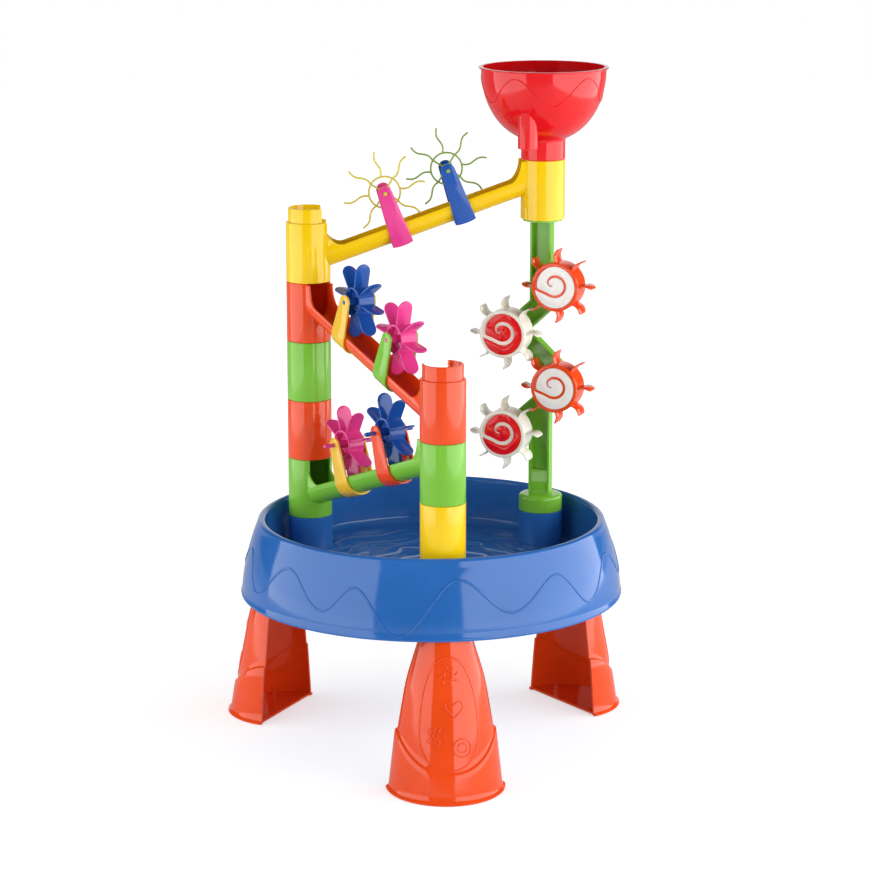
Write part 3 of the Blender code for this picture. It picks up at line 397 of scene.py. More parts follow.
# Sizes that follow from those above
TUBE_HEIGHT = MODULE_HEIGHT - FIT
TUBE_BORE = TUBE_RADIUS - WALL
SPIGOT_RADIUS = TUBE_BORE - PLUG_FIT
SPIGOT_BORE = SPIGOT_RADIUS - WALL
STACK_BOTTOM = FLOOR_HEIGHT + PEDESTAL_HEIGHT + FIT
RIM_INNER = COLUMN_RADIUS + TUBE_RADIUS + RIM_CLEARANCE
RIM_OUTER = RIM_INNER + RIM_WIDTH
RIM_SHOULDER = RIM_HEIGHT - RIM_ROLL
SKIRT_RADIUS = RIM_OUTER + SKIRT_FLARE
WALL_FOOT = RIM_INNER - WALL_DRAFT
LEG_PLANE = RIM_INNER + LEG_SETBACK
LEG_TOP = FLOOR_HEIGHT - BASIN_WALL - FIT
COLUMN_SPACING = COLUMN_RADIUS * sqrt(3)
CHANNEL_RUN = COLUMN_SPACING - 2 * TUBE_RADIUS
SLOPE = atan2(MODULE_HEIGHT + HIGH_ENTRY - LOW_ENTRY, CHANNEL_RUN)
CHANNEL_LENGTH = CHANNEL_RUN / cos(SLOPE)
CHANNEL_BORE = CHANNEL_RADIUS - WALL
CHANNEL_TOP = HIGH_ENTRY + CHANNEL_RADIUS / cos(SLOPE)
CHANNEL_FLOOR = CHANNEL_TOP - CHANNEL_BORE / cos(SLOPE)
STRAP_INSIDE = CHANNEL_RADIUS + FIT
STRAP_OUTSIDE = STRAP_INSIDE + STRAP
POST_HEIGHT = POST_MODULES * MODULE_HEIGHT
SWIRL_FACE = SWIRL_DEPTH - INLAY_DEPTH
SWIRL_PLATE = SWIRL_FACE - WALL
JOINTS = {joint["child"]: joint for joint in frame["joints"]}


def basin_axis():
    """The basin's axis on the ground, in the middle of its box."""
    low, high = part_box("basin")
    middle = (low + high) / 2
    return Matrix.Translation((middle.x, middle.y, 0))


AXIS = basin_axis()


def linear(value):
    """An sRGB channel from 0 to 255 as a linear value."""
    share = value / 255
    return share / 12.92 if share <= 0.04045 else ((share + 0.055) / 1.055) ** 2.4


def polar(radius, angle, height=0):
    """A point at an angle in degrees round Z."""
    turn = radians(angle)
    return Vector((radius * cos(turn), radius * sin(turn), height))


def arc(first, last, count):
    """Angles in radians from first to last degrees, in count steps."""
    return [radians(first + (last - first) * i / count) for i in range(count + 1)]


def whole_turn(count):
    """Angles in radians of so many points all the way round."""
    return arc(0, 360, count)[:-1]


def bow(x, y, wide, tall, first, last, count):
    """Points (x, y) along an oval about a centre, from first to last degrees."""
    return [(x + wide * cos(turn), y + tall * sin(turn)) for turn in arc(first, last, count)]


def spin(angle, axis="Z"):
    """The matrix of a turn by degrees about an axis."""
    return Matrix.Rotation(radians(angle), 4, axis)


def ease(share):
    """A smooth step from 0 to 1."""
    share = min(1, max(0, share))
    return share * share * (3 - 2 * share)


def between(stations, at):
    """Values of stations, (position, value, ...), read at a position."""
    for low, high in zip(stations, stations[1:]):
        if at <= high[0] or high is stations[-1]:
            share = (at - low[0]) / (high[0] - low[0])
            return [a + (b - a) * share for a, b in zip(low[1:], high[1:])]


def filleted(points):
    """A closed outline of (x, y) points, with a round corner at each (x, y, size)."""
    outline = []
    for i, (x, y, *size) in enumerate(points):
        if not size:
            outline.append((x, y))
            continue
        here = Vector((x, y))
        before = Vector(points[i - 1][:2])
        after = Vector(points[(i + 1) % len(points)][:2])
        first = here + (before - here).normalized() * size[0]
        last = here + (after - here).normalized() * size[0]
        for k in range(ROUND_FACETS + 1):
            share = k / ROUND_FACETS
            point = first * (1 - share) ** 2 + here * 2 * share * (1 - share) + last * share**2
            outline.append(tuple(point))
    return outline


def rod(radius, bottom, top, low=(), high=()):
    """The profile of a round bar, its edges rounded where a (size,) is given."""
    return [(0, bottom), (radius, bottom, *low), (radius, top, *high), (0, top)]


def both_ways(half):
    """A profile that is the same below zero as above it."""
    return [(radius, -height, *size) for radius, height, *size in half] + half[::-1]


def smoothed(mesh):
    mesh.shade_smooth()
    mesh.set_sharp_from_angle(angle=SHARP)
    return mesh


def finished(shape):
    """The bmesh as a mesh, facing out, with its round parts shaded smooth."""
    bmesh.ops.recalc_face_normals(shape, faces=shape.faces)
    mesh = bpy.data.meshes.new("shape")
    shape.to_mesh(mesh)
    shape.free()
    return smoothed(mesh)


def turned(profile, facets=TUBE_FACETS):
    """A solid turned about Z, from a profile that ends on the axis or is a loop."""
    shape = bmesh.new()
    rings = []
    for radius, height in filleted(profile):
        if radius == 0:
            rings.append([shape.verts.new((0, 0, height))] * facets)
        else:
            rings.append([shape.verts.new(polar(radius, 360 * i / facets, height)) for i in range(facets)])
    if profile[0][0] != 0:
        rings.append(rings[0])
    for below, above in zip(rings, rings[1:]):
        for i in range(facets):
            j = (i + 1) % facets
            corners = list(dict.fromkeys([below[i], below[j], above[j], above[i]]))
            if len(corners) > 2:
                shape.faces.new(corners)
    return finished(shape)


def lofted(sections, ring=False):
    """A solid through closed sections, capped at its ends or made a ring."""
    shape = bmesh.new()
    loops = [[shape.verts.new(point) for point in section] for section in sections]
    if ring:
        loops.append(loops[0])
    for first, second in zip(loops, loops[1:]):
        for i in range(len(first)):
            j = (i + 1) % len(first)
            shape.faces.new((first[i], first[j], second[j], second[i]))
    if not ring:
        shape.faces.new(loops[0])
        shape.faces.new(loops[-1])
    return finished(shape)


def prism(outline, bottom, top):
    """A flat outline of (x, y) points made a solid between two heights."""
    return lofted([[(x, y, height) for x, y in outline] for height in (bottom, top)])


def moved(mesh, matrix):
    mesh.transform(matrix)
    return mesh


def shifted(mesh, offset):
    return moved(mesh, Matrix.Translation(offset))


def gathered(meshes):
    """Meshes that don't meet, as one mesh."""
    shape = bmesh.new()
    for mesh in meshes:
        shape.from_mesh(mesh)
    return finished(shape)


def triangulated(mesh):
    shape = bmesh.new()
    shape.from_mesh(mesh)
    bmesh.ops.triangulate(shape, faces=shape.faces)
    shape.to_mesh(mesh)
    shape.free()
    return mesh


def linked(name, data):
    """A new object of the data, in the scene."""
    made = bpy.data.objects.new(name, data)
    bpy.context.scene.collection.objects.link(made)
    return made


def evaluated(mesh, kind, **settings):
    """The mesh after one modifier."""
    holder = linked("holder", mesh)
    modifier = holder.modifiers.new(kind, kind)
    for name, value in settings.items():
        setattr(modifier, name, value)
    graph = bpy.context.evaluated_depsgraph_get()
    made = bpy.data.meshes.new_from_object(holder.evaluated_get(graph))
    bpy.data.objects.remove(holder)
    return made


def combined(base, tool, operation):
    """The mesh that an exact Boolean makes of two."""
    other = linked("tool", triangulated(tool))
    mesh = evaluated(triangulated(base), "BOOLEAN", operation=operation, solver="EXACT", object=other)
    bpy.data.objects.remove(other)
    shape = bmesh.new()
    shape.from_mesh(mesh)
    bmesh.ops.remove_doubles(shape, verts=shape.verts, dist=MERGE)
    bmesh.ops.dissolve_degenerate(shape, dist=MERGE, edges=shape.edges)
    bmesh.ops.dissolve_limit(shape, angle_limit=FLATNESS, verts=shape.verts, edges=shape.edges)
    return finished(shape)


def joined(base, *tools):
    for tool in tools:
        base = combined(base, tool, "UNION")
    return base


def cut(base, *tools):
    for tool in tools:
        base = combined(base, tool, "DIFFERENCE")
    return base


def bevelled(mesh, width, segments=2):
    """The mesh with its sharp edges rounded."""
    limits = {"limit_method": "ANGLE", "angle_limit": SHARP, "use_clamp_overlap": True}
    return smoothed(evaluated(mesh, "BEVEL", width=width, segments=segments, **limits))


def heading(path, i, ring):
    """The way a path runs at one of its points."""
    if ring:
        return path[(i + 1) % len(path)] - path[i - 1]
    return path[min(i + 1, len(path) - 1)] - path[max(i - 1, 0)]


def ridge(path, normals, width, raised, ring=False):
    """A rounded rib along a path on a surface, sunk into it, with tapered ends."""
    sections = []
    for i, (point, normal) in enumerate(zip(path, normals)):
        side = heading(path, i, ring).cross(normal).normalized()
        size = 1 if ring else min(1, RIB_TIP + RIB_TAPER * min(i, len(path) - 1 - i))
        section = []
        for turn in arc(0, 180, RIB_FACETS):
            across = side * (size * width / 2 * cos(turn))
            section.append(point + across + normal * (size * raised * sin(turn)))
        section.append(point - side * (size * width / 2) - normal * raised)
        section.append(point + side * (size * width / 2) - normal * raised)
        sections.append(section)
    return lofted(sections, ring)


def embossed(radius_at, places, probe, width, raised):
    """A line round a turned surface, through (degrees from the camera, height)."""
    path, normals = [], []
    for angle, height in places:
        lean = (radius_at(height - probe) - radius_at(height + probe)) / (2 * probe)
        turn = CAMERA_AZIMUTH + angle
        path.append(polar(radius_at(height), turn, height))
        normals.append((polar(1, turn) + Vector((0, 0, lean))).normalized())
    return ridge(path, normals, width, raised, ring=True)


def wire(path, radius, ring=False):
    """A round wire through points, with round ends."""
    stops = [(point, 1, i) for i, point in enumerate(path)]
    if not ring:
        first = (path[0] - path[1]).normalized()
        last = (path[-1] - path[-2]).normalized()
        stops = [(path[0] + first * radius * out, size, 0) for out, size in reversed(WIRE_CAP)] + stops
        stops += [(path[-1] + last * radius * out, size, len(path) - 1) for out, size in WIRE_CAP]
    sections = []
    for point, size, i in stops:
        ahead = heading(path, i, ring).normalized()
        side = ahead.cross(Vector((0, 0, 1))).normalized()
        lift = side.cross(ahead)
        turns = whole_turn(WIRE_FACETS)
        sections.append([point + (side * cos(t) + lift * sin(t)) * radius * size for t in turns])
    return lofted(sections, ring)


def connect(tree, target, inputs):
    """Sets a node's inputs to values, or links them to other nodes' sockets."""
    for key, value in inputs.items():
        if isinstance(value, bpy.types.NodeSocket):
            tree.links.new(value, target.inputs[key])
        else:
            target.inputs[key].default_value = value


def node(tree, kind, inputs=None, **settings):
    """A new shader node with its settings and inputs."""
    made = tree.nodes.new(kind)
    for name, value in settings.items():
        setattr(made, name, value)
    connect(tree, made, inputs or {})
    return made


def reckoned(tree, operation, first, second):
    return node(tree, "ShaderNodeMath", {0: first, 1: second}, operation=operation).outputs["Value"]


def ranged(tree, value, source, target):
    """A value mapped from one range to another."""
    inputs = {"Value": value}
    inputs |= {"From Min": source[0], "From Max": source[1], "To Min": target[0], "To Max": target[1]}
    return node(tree, "ShaderNodeMapRange", inputs).outputs["Result"]


@cache
def plastic(name):
    """Glossy plastic with faint flow marks, uneven gloss and a fine moulded grain."""
    made = bpy.data.materials.new("plastic_" + name)
    made.use_nodes = True
    tree = made.node_tree
    place = node(tree, "ShaderNodeTexCoord").outputs["Object"]

    def noise(scale, detail):
        inputs = {"Vector": place, "Scale": scale, "Detail": detail}
        return node(tree, "ShaderNodeTexNoise", inputs).outputs["Fac"]

    colour = [linear(value) for value in COLOURS[name]]
    flow = {
        "Factor": ranged(tree, noise(*FLOW), NOISE_RANGE, (0, 1)),
        "A": (*[FLOW_DARK * c for c in colour], 1),
        "B": (*[min(1, FLOW_LIGHT * c + FLOW_LIFT) for c in colour], 1),
    }
    grain = {"Strength": GRAIN_STRENGTH, "Distance": GRAIN_HEIGHT, "Height": noise(*GRAIN)}
    look = {
        "Base Color": node(tree, "ShaderNodeMix", flow, data_type="RGBA").outputs["Result"],
        "Roughness": ranged(tree, noise(*GLOSS), NOISE_RANGE, ROUGHNESS),
        "Normal": node(tree, "ShaderNodeBump", grain).outputs["Normal"],
        "IOR": PLASTIC_IOR,
    }
    connect(tree, tree.nodes["Principled BSDF"], look)
    return made


def piece(name, mesh, colour, body, *nodes, place=AXIS):
    """One visible piece that rides on a body and stands for its CAD nodes."""
    data = moved(mesh.copy(), place)
    data.name = name
    data.materials.clear()
    data.materials.append(plastic(colour))
    made = linked(name, data)
    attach(made, body)
    if nodes:
        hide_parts(*nodes)
    SHADE_OF.get(colour, colour)


# Basin


def skirt_radius(height):
    """Outside of the basin's skirt, which flares more and more towards the rim."""
    share = max(0, (height - SKIRT_BOTTOM) / (RIM_SHOULDER - SKIRT_BOTTOM))
    return SKIRT_RADIUS - SKIRT_FLARE * share**SKIRT_POWER


def pedestal():
    """A raised tube on the basin floor, with the spigot that a column stands on."""
    foot = FLOOR_HEIGHT - BASIN_WALL / 2
    top = FLOOR_HEIGHT + PEDESTAL_HEIGHT
    loop = [
        (TUBE_RADIUS + PEDESTAL_FILLET, foot),
        (TUBE_RADIUS + PEDESTAL_FILLET, FLOOR_HEIGHT - BASIN_WALL / 4),
        (TUBE_RADIUS, FLOOR_HEIGHT, PEDESTAL_ROUND),
        (TUBE_RADIUS, top, EDGE),
        (SPIGOT_RADIUS, top),
        (SPIGOT_RADIUS, top + SPIGOT_HEIGHT, EDGE),
        (SPIGOT_BORE, top + SPIGOT_HEIGHT, EDGE),
        (SPIGOT_BORE, foot),
    ]
    return turned(loop)


def outlet():
    """The cutter of the arch that lets the lowest tube's water into the basin."""
    side = OUTLET_WIDTH / 2
    spring = OUTLET_HEIGHT - side
    arch = bow(0, spring, side, side, 0, 180, BOW_STEPS)
    shape = prism([(side, 0), *arch, (-side, 0)], 0, 2 * TUBE_RADIUS)
    stood_up = Matrix(((0, 0, 1), (1, 0, 0), (0, 1, 0))).to_4x4()
    lift = Matrix.Translation((0, 0, FLOOR_HEIGHT + OUTLET_SILL))
    return moved(shape, lift @ spin(OUTLET_ANGLE) @ stood_up)


def basin_mesh():
    """The tub: floor, wall, rolled rim and skirt in one skin, with its pedestals."""

    def corner(radius, first, last):
        """The round between floor and wall."""
        centre = (WALL_FOOT - FLOOR_FILLET, FLOOR_HEIGHT + FLOOR_FILLET)
        return bow(*centre, radius, radius, first, last, FILLET_STEPS)

    rim = bow(RIM_INNER + RIM_WIDTH / 2, RIM_SHOULDER, RIM_WIDTH / 2, RIM_ROLL, 180, 0, LONG_STEPS)
    drop = SKIRT_BOTTOM + BEAD_HEIGHT - RIM_SHOULDER
    heights = [RIM_SHOULDER + drop * i / LONG_STEPS for i in range(1, LONG_STEPS + 1)]
    skirt = [(skirt_radius(height), height) for height in heights]
    bead_middle = SKIRT_BOTTOM + BEAD_HEIGHT / 2
    bead = [
        (SKIRT_RADIUS + SKIRT_BEAD * BEAD_SHARE, bead_middle + SKIRT_BEAD),
        (SKIRT_RADIUS + SKIRT_BEAD, bead_middle),
        (SKIRT_RADIUS + SKIRT_BEAD * BEAD_SHARE, SKIRT_BOTTOM + SKIRT_BEAD / 2),
        (SKIRT_RADIUS - SKIRT_BEAD, SKIRT_BOTTOM),
        (SKIRT_RADIUS - BASIN_WALL, SKIRT_BOTTOM),
    ]
    under_rim = RIM_SHOULDER - BASIN_WALL
    lining = [(skirt_radius(height) - BASIN_WALL, height) for height in [*heights[::-1], under_rim]]
    lining.append((RIM_INNER + BASIN_WALL, under_rim))
    upper = [(0, FLOOR_HEIGHT), *corner(FLOOR_FILLET, -90, 0)]
    under = [*corner(FLOOR_FILLET + BASIN_WALL, 0, -90), (0, FLOOR_HEIGHT - BASIN_WALL)]
    tub = turned(upper + rim + skirt + bead + lining + under, BASIN_FACETS)
    stands = [shifted(pedestal(), polar(COLUMN_RADIUS, angle)) for angle in COLUMN_ANGLE.values()]
    tub = joined(tub, gathered(stands))
    return cut(tub, shifted(outlet(), polar(COLUMN_RADIUS, COLUMN_ANGLE["left"])))


def skirt_wave():
    """The wave line embossed round the skirt."""
    stations = [*WAVE, (WAVE[0][0] + WAVE_REPEAT, WAVE[0][1])]
    places = []
    for repeat in range(360 // WAVE_REPEAT):
        for i in range(WAVE_POINTS):
            angle = WAVE[0][0] + WAVE_REPEAT * i / WAVE_POINTS
            for (first, low), (last, high) in zip(stations, stations[1:]):
                if first <= angle < last:
                    share = (1 - cos(pi * (angle - first) / (last - first))) / 2
                    level = low + (high - low) * share
            height = SKIRT_BOTTOM + (RIM_HEIGHT - SKIRT_BOTTOM) * level
            places.append((angle + WAVE_REPEAT * repeat, height))
    return embossed(skirt_radius, places, SKIRT_PROBE, WAVE_WIDTH, WAVE_RAISED)


def floor_ripples():
    """Low wavy rings on the basin's floor, between the columns."""
    rings = []
    up = [Vector((0, 0, 1))] * LINE_POINTS
    for radius, waves, swing in RIPPLES:
        path = []
        for turn in whole_turn(LINE_POINTS):
            path.append(polar(radius + swing * sin(waves * turn), degrees(turn), FLOOR_HEIGHT))
        rings.append(ridge(path, up, RIPPLE_WIDTH, RIPPLE_RAISED, ring=True))
    return gathered(rings)


# Legs


def leg_size(height):
    """Half width and depth of a leg's half oval at a height, without its foot's step."""
    inside = BASIN_WALL + LEG_SKIRT_GAP + LEG_PLANE
    stations = (
        *LEG_STATIONS,
        (SKIRT_BOTTOM, LEG_NECK_HALF_WIDTH, skirt_radius(SKIRT_BOTTOM) - inside),
        (LEG_TOP, LEG_TOP_HALF_WIDTH, skirt_radius(LEG_TOP) - inside),
    )
    around = [min(LEG_TOP, max(0, height + LEG_SOFTNESS * k)) for k in (-2, -1, 0, 1, 2)]
    sizes = [between(stations, at) for at in around]
    return [sum(values) / len(values) for values in zip(*sizes)]


def leg_point(turn, height, offset):
    """A point at an angle round a leg, offset outwards, with +X away from the basin."""
    half_width, depth = leg_size(height)
    x = LEG_PLANE + (depth + offset) * cos(turn)
    y = (half_width + offset) * sin(turn)
    if abs(turn) >= pi / 2 - MERGE:
        x = LEG_PLANE
    return Vector((x, y, height))


def leg_step_height(turn):
    """Height of the foot band's top edge, which dips under the front panel."""
    rise = ease(abs(degrees(turn)) / 90) ** LEG_PANEL_POWER
    return LEG_PANEL_BOTTOM + (LEG_KNEE_HEIGHT - LEG_PANEL_BOTTOM) * rise


def leg_mesh():
    """A thin half cone with a foot band that steps out and dips under the front panel."""
    turns = arc(-90, 90, LEG_STEPS)
    sections = []

    def add_row(height_at, outer, inner=LEG_STEP - LEG_WALL):
        """One section, at heights that follow from the band's edge."""
        heights = [height_at(leg_step_height(turn)) for turn in turns]
        row = list(zip(turns, heights))
        outside = [leg_point(turn, height, outer) for turn, height in row]
        sections.append(outside + [leg_point(turn, height, inner) for turn, height in reversed(row)])

    flange = LEG_STEP + LEG_FLANGE
    band = LEG_FLANGE_HEIGHT + 3 * EDGE
    for height, outer in (
        (0, flange - EDGE),
        (EDGE, flange),
        (LEG_FLANGE_HEIGHT - EDGE, flange),
        (LEG_FLANGE_HEIGHT, flange - EDGE),
        (LEG_FLANGE_HEIGHT + EDGE, LEG_STEP + EDGE),
        (band, LEG_STEP),
    ):
        add_row(lambda edge: height, outer)
    for k in range(1, SHORT_STEPS):
        add_row(lambda edge: band + (edge - 9 * EDGE) * k / SHORT_STEPS, LEG_STEP)
    for k in range(SHORT_STEPS + 1):
        share = k / SHORT_STEPS
        offset = LEG_STEP * (1 - ease(share))
        lift = LEG_STEP_SLOPE * (2 * share - 1)
        add_row(lambda edge: edge + lift, offset, offset - LEG_WALL)
    for k in range(1, TALL_STEPS + 1):
        share = k / TALL_STEPS
        add_row(lambda edge: (edge + LEG_STEP_SLOPE) * (1 - share) + LEG_TOP * share, 0, -LEG_WALL)
    plate = []
    for height, inset in ((0, EDGE / 2), (EDGE / 2, 0), (LEG_WALL - EDGE / 2, 0), (LEG_WALL, EDGE / 2)):
        row = [leg_point(turn, LEG_PLATE_LIFT + height, LEG_STEP - LEG_WALL / 2) for turn in turns]
        plate.append([point + Vector((inset, 0, 0)) for point in row])
    return gathered([lofted(sections), shifted(lofted(plate), (FIT, 0, 0))])


def leg_ridge(route, width, raised, ring=False):
    """A rib on a leg's outside through (degrees round the leg, height) places."""
    path, normals = [], []
    step = LEG_PROBE
    for angle, height in route:
        turn = radians(angle)
        around = leg_point(turn + step, height, 0) - leg_point(turn - step, height, 0)
        rise = leg_point(turn, height + step, 0) - leg_point(turn, height - step, 0)
        path.append(leg_point(turn, height, 0))
        normals.append(around.cross(rise).normalized())
    return ridge(path, normals, width, raised, ring)


def leg_motif(place, outline, ring=True):
    """A motif of (across, up) points about a place on a leg's panel."""
    angle, height = place
    half_width = leg_size(height)[0]
    route = [(angle + degrees(across / half_width), height + up) for across, up in outline]
    return leg_ridge(route, MOTIF_RIDGE, MOTIF_RAISED, ring)


def leg_panel():
    """The egg-shaped ridge on a leg and the sun, heart, flower and rings inside it."""
    egg, heart = [], []
    for turn in whole_turn(EGG_POINTS):
        tall = EGG_TOP - EGG_WAIST if sin(turn) > 0 else EGG_WAIST - EGG_BOTTOM
        height = EGG_WAIST + tall * sin(turn)
        half = EGG_HALF_WIDTH * copysign(abs(cos(turn)) ** EGG_FULLNESS, cos(turn))
        egg.append((degrees(asin(half / leg_size(height)[0])), height))
    # The usual heart curve
    for turn in whole_turn(LOOP_POINTS):
        up = 13 * cos(turn) - 5 * cos(2 * turn) - 2 * cos(3 * turn) - cos(4 * turn)
        heart.append((HEART_HALF_WIDTH * sin(turn) ** 3, HEART_SCALE * up))
    parts = [leg_ridge(egg, EGG_RIDGE, EGG_RAISED, ring=True), leg_motif(HEART_PLACE, heart)]
    for place, radius, waves, swing in ROUND_MOTIFS:
        outline = []
        for turn in whole_turn(LOOP_POINTS):
            reach = radius + swing * cos(waves * turn)
            outline.append((reach * cos(turn), reach * sin(turn)))
        parts.append(leg_motif(place, outline))
    for k in range(RAY_COUNT):
        angle = 360 / RAY_COUNT * k
        ray = [polar(RAY_START + RAY_STEP * i, angle + RAY_BEND * i).to_2d() for i in range(RAY_POINTS)]
        parts.append(leg_motif(SUN_PLACE, ray, ring=False))
    return gathered(parts)


# Tubes and troughs


def tube_outline(bottom):
    """Outside of a tube segment and of the spigot on it, from the axis to the axis."""
    top = bottom + TUBE_HEIGHT
    return [
        (0, bottom),
        (TUBE_RADIUS, bottom, EDGE),
        (TUBE_RADIUS, top, EDGE),
        (SPIGOT_RADIUS, top),
        (SPIGOT_RADIUS, top + SPIGOT_HEIGHT, EDGE),
        (0, top + SPIGOT_HEIGHT),
    ]


def tube_bore(bottom, floor):
    """The hollow of a tube segment from a floor height up through its spigot."""
    top = bottom + TUBE_HEIGHT
    return [
        (0, floor),
        (TUBE_BORE, floor),
        (TUBE_BORE, top - 2 * SHOULDER),
        (SPIGOT_BORE, top - SHOULDER),
        (SPIGOT_BORE, top + SPIGOT_HEIGHT + WALL),
        (0, top + SPIGOT_HEIGHT + WALL),
    ]


def ring_mesh():
    """A plain stacking tube segment."""
    bore = tube_bore(0, 0)[1:4]
    return turned(tube_outline(0)[1:-1] + [(SPIGOT_BORE, TUBE_HEIGHT + SPIGOT_HEIGHT)] + bore[::-1])


def channel_place():
    """From the channel's frame, +X down the slope, to the trough's."""
    return Matrix.Translation((TUBE_RADIUS, 0, CHANNEL_TOP)) @ Matrix.Rotation(SLOPE, 4, "Y")


def channel_shell(reach):
    """The half-round channel, whose walls sweep up at both ends to meet the tubes."""
    lip = WALL / 2
    middle = CHANNEL_RADIUS - lip

    def section(along, rise, lean=0):
        top = CHANNEL_RIM + rise - lip

        def rim(centre):
            return [(along - lean, y, z) for y, z in bow(centre, top, lip, lip, 180, 0, SHORT_STEPS)]

        def half_round(radius, first, last):
            return [(along, y, z) for y, z in bow(0, 0, radius, -radius, first, last, CHANNEL_FACETS)]

        near = rim(middle) + half_round(CHANNEL_RADIUS, 0, 180)
        return near + rim(-middle) + half_round(CHANNEL_BORE, 180, 0)

    def sweep(length, fillet):
        return bow(length, fillet, -length, -fillet, 0, 90, SWEEP_STEPS)

    upright_lean = tan(SLOPE)
    end_rise = HIGH_FILLET - reach * upright_lean
    high_end = [(-reach, end_rise), *sweep(HIGH_REACH, HIGH_FILLET)]
    low_end = [(-reach, LOW_FILLET), *sweep(LOW_REACH, LOW_FILLET)]
    sections = [section(along, rise, rise * upright_lean) for along, rise in high_end]
    sections += [section(CHANNEL_LENGTH - along, rise) for along, rise in reversed(low_end)]
    return lofted(sections)


def tube_slot(first, last, shoulder):
    """The cutter that opens a tube towards the channel."""
    radius = CHANNEL_BORE - FIT
    half = CHANNEL_RADIUS + SLOT_EXTRA
    tall = MODULE_HEIGHT + SPIGOT_HEIGHT
    outline = [(half, tall), (half, shoulder), (radius, shoulder)]
    outline += bow(0, 0, radius, -radius, 0, 180, CHANNEL_FACETS)
    outline += [(-radius, shoulder), (-half, shoulder), (-half, tall)]
    shape = lofted([[(along, side, up) for side, up in outline] for along in (first, last)])
    return moved(shape, channel_place())


def trough_mesh():
    """A high tube at the origin, a low one a module below, and the channel between."""
    low = (COLUMN_SPACING, 0, 0)
    low_bottom = -MODULE_HEIGHT
    low_tube = shifted(turned(tube_outline(low_bottom)), low)
    channel = moved(channel_shell(TUBE_RADIUS / 2), channel_place())
    body = joined(turned(tube_outline(0)), low_tube, channel)
    socket = turned(rod(TUBE_BORE, -WALL, CHANNEL_FLOOR - WALL))
    low_bore = shifted(turned(tube_bore(low_bottom, low_bottom - WALL)), low)
    body = cut(body, socket, turned(tube_bore(0, CHANNEL_FLOOR)), low_bore)
    lean = (MODULE_HEIGHT + SPIGOT_HEIGHT) * sin(SLOPE)
    high_shoulder = CHANNEL_RIM + HIGH_FILLET + SLOT_EXTRA
    low_shoulder = CHANNEL_RIM + LOW_FILLET + SLOT_EXTRA
    high_slot = tube_slot(-TUBE_RADIUS - WALL, CHANNEL_RADIUS / 2, high_shoulder)
    low_slot = tube_slot(CHANNEL_LENGTH - lean, CHANNEL_LENGTH + SLOT_REACH, low_shoulder)
    return cut(body, high_slot, low_slot)


# Brackets and their wheels


def lying(shape):
    """A shape made flat in XY, stood up in XZ with its own +Z towards -Y."""
    return moved(shape, spin(90, "X"))


def across_y(profile, facets):
    """A turned solid whose axis lies along Y."""
    return moved(turned(profile, facets), spin(-90, "X"))


def arm(pivot, width):
    """The strap's places down a plate's round top, whose middle is at the pivot."""
    top = bow(0, pivot, width / 2, width / 2, STRAP_TOP_ANGLE, 0, ARC_FACETS)
    return [(STRAP_INSIDE, up, STRAP_OUTSIDE, up, half) for half, up in top]


def mirrored(path):
    """The other side's places of a strap, on from the middle."""
    return [(-y_in, z_in, -y_out, z_out, half) for y_in, z_in, y_out, z_out, half in reversed(path)]


def bracket(path, pivot):
    """A U-shaped strap with axle holes, through places (inside y, z, outside y, z, half width)."""
    sections = []
    for y_in, z_in, y_out, z_out, half in path:
        inside = [(-half, y_in, z_in), (half, y_in, z_in)]
        sections.append(inside + [(half, y_out, z_out), (-half, y_out, z_out)])
    reach = STRAP_OUTSIDE + WALL
    hole = across_y(rod(AXLE_RADIUS + FIT, -reach, reach), PIN_FACETS)
    return cut(bevelled(lofted(sections), STRAP_EDGE), shifted(hole, (0, 0, pivot)))


@cache
def paddle_bracket_mesh():
    """A strap that widens from its round tops and wraps under the channel."""
    side = arm(PADDLE_PIVOT, STRAP_TOP_WIDTH)
    inner, outer = [bow(0, 0, r, -r, 0, 180, CHANNEL_FACETS) for r in (STRAP_INSIDE, STRAP_OUTSIDE)]
    wrap = [(*near, *far, STRAP_WIDTH / 2) for near, far in zip(inner, outer)]
    return bracket(side + wrap + mirrored(side), PADDLE_PIVOT)


@cache
def sun_bracket_mesh():
    """Two tapered plates, joined below the channel by a web."""
    foot = -CHANNEL_RADIUS - SUN_FOOT_DROP
    side = arm(SUN_PIVOT, SUN_TOP_WIDTH)
    side.append((STRAP_INSIDE, foot + STRAP, STRAP_OUTSIDE, foot, SUN_FOOT_WIDTH / 2))
    half = SUN_FOOT_WIDTH / 2 - STRAP_EDGE
    belly = bow(0, foot + STRAP_EDGE, half, -SUN_FOOT_BOW - STRAP_EDGE, 0, 180, BOW_STEPS)
    lens = lying(prism(belly, FIT - STRAP_OUTSIDE, STRAP_OUTSIDE - FIT))
    return gathered([bracket(side + mirrored(side), SUN_PIVOT), lens])


def axle(boss, proud):
    """An axle along Y: a boss between the bracket's plates, and a pin through each."""
    end = STRAP_OUTSIDE + proud
    play = STRAP_INSIDE - SIDE_PLAY
    half = [(0, end), (AXLE_RADIUS, end, EDGE / 2), (AXLE_RADIUS, play), (boss, play, EDGE / 2)]
    return across_y(both_ways(half), PIN_FACETS)


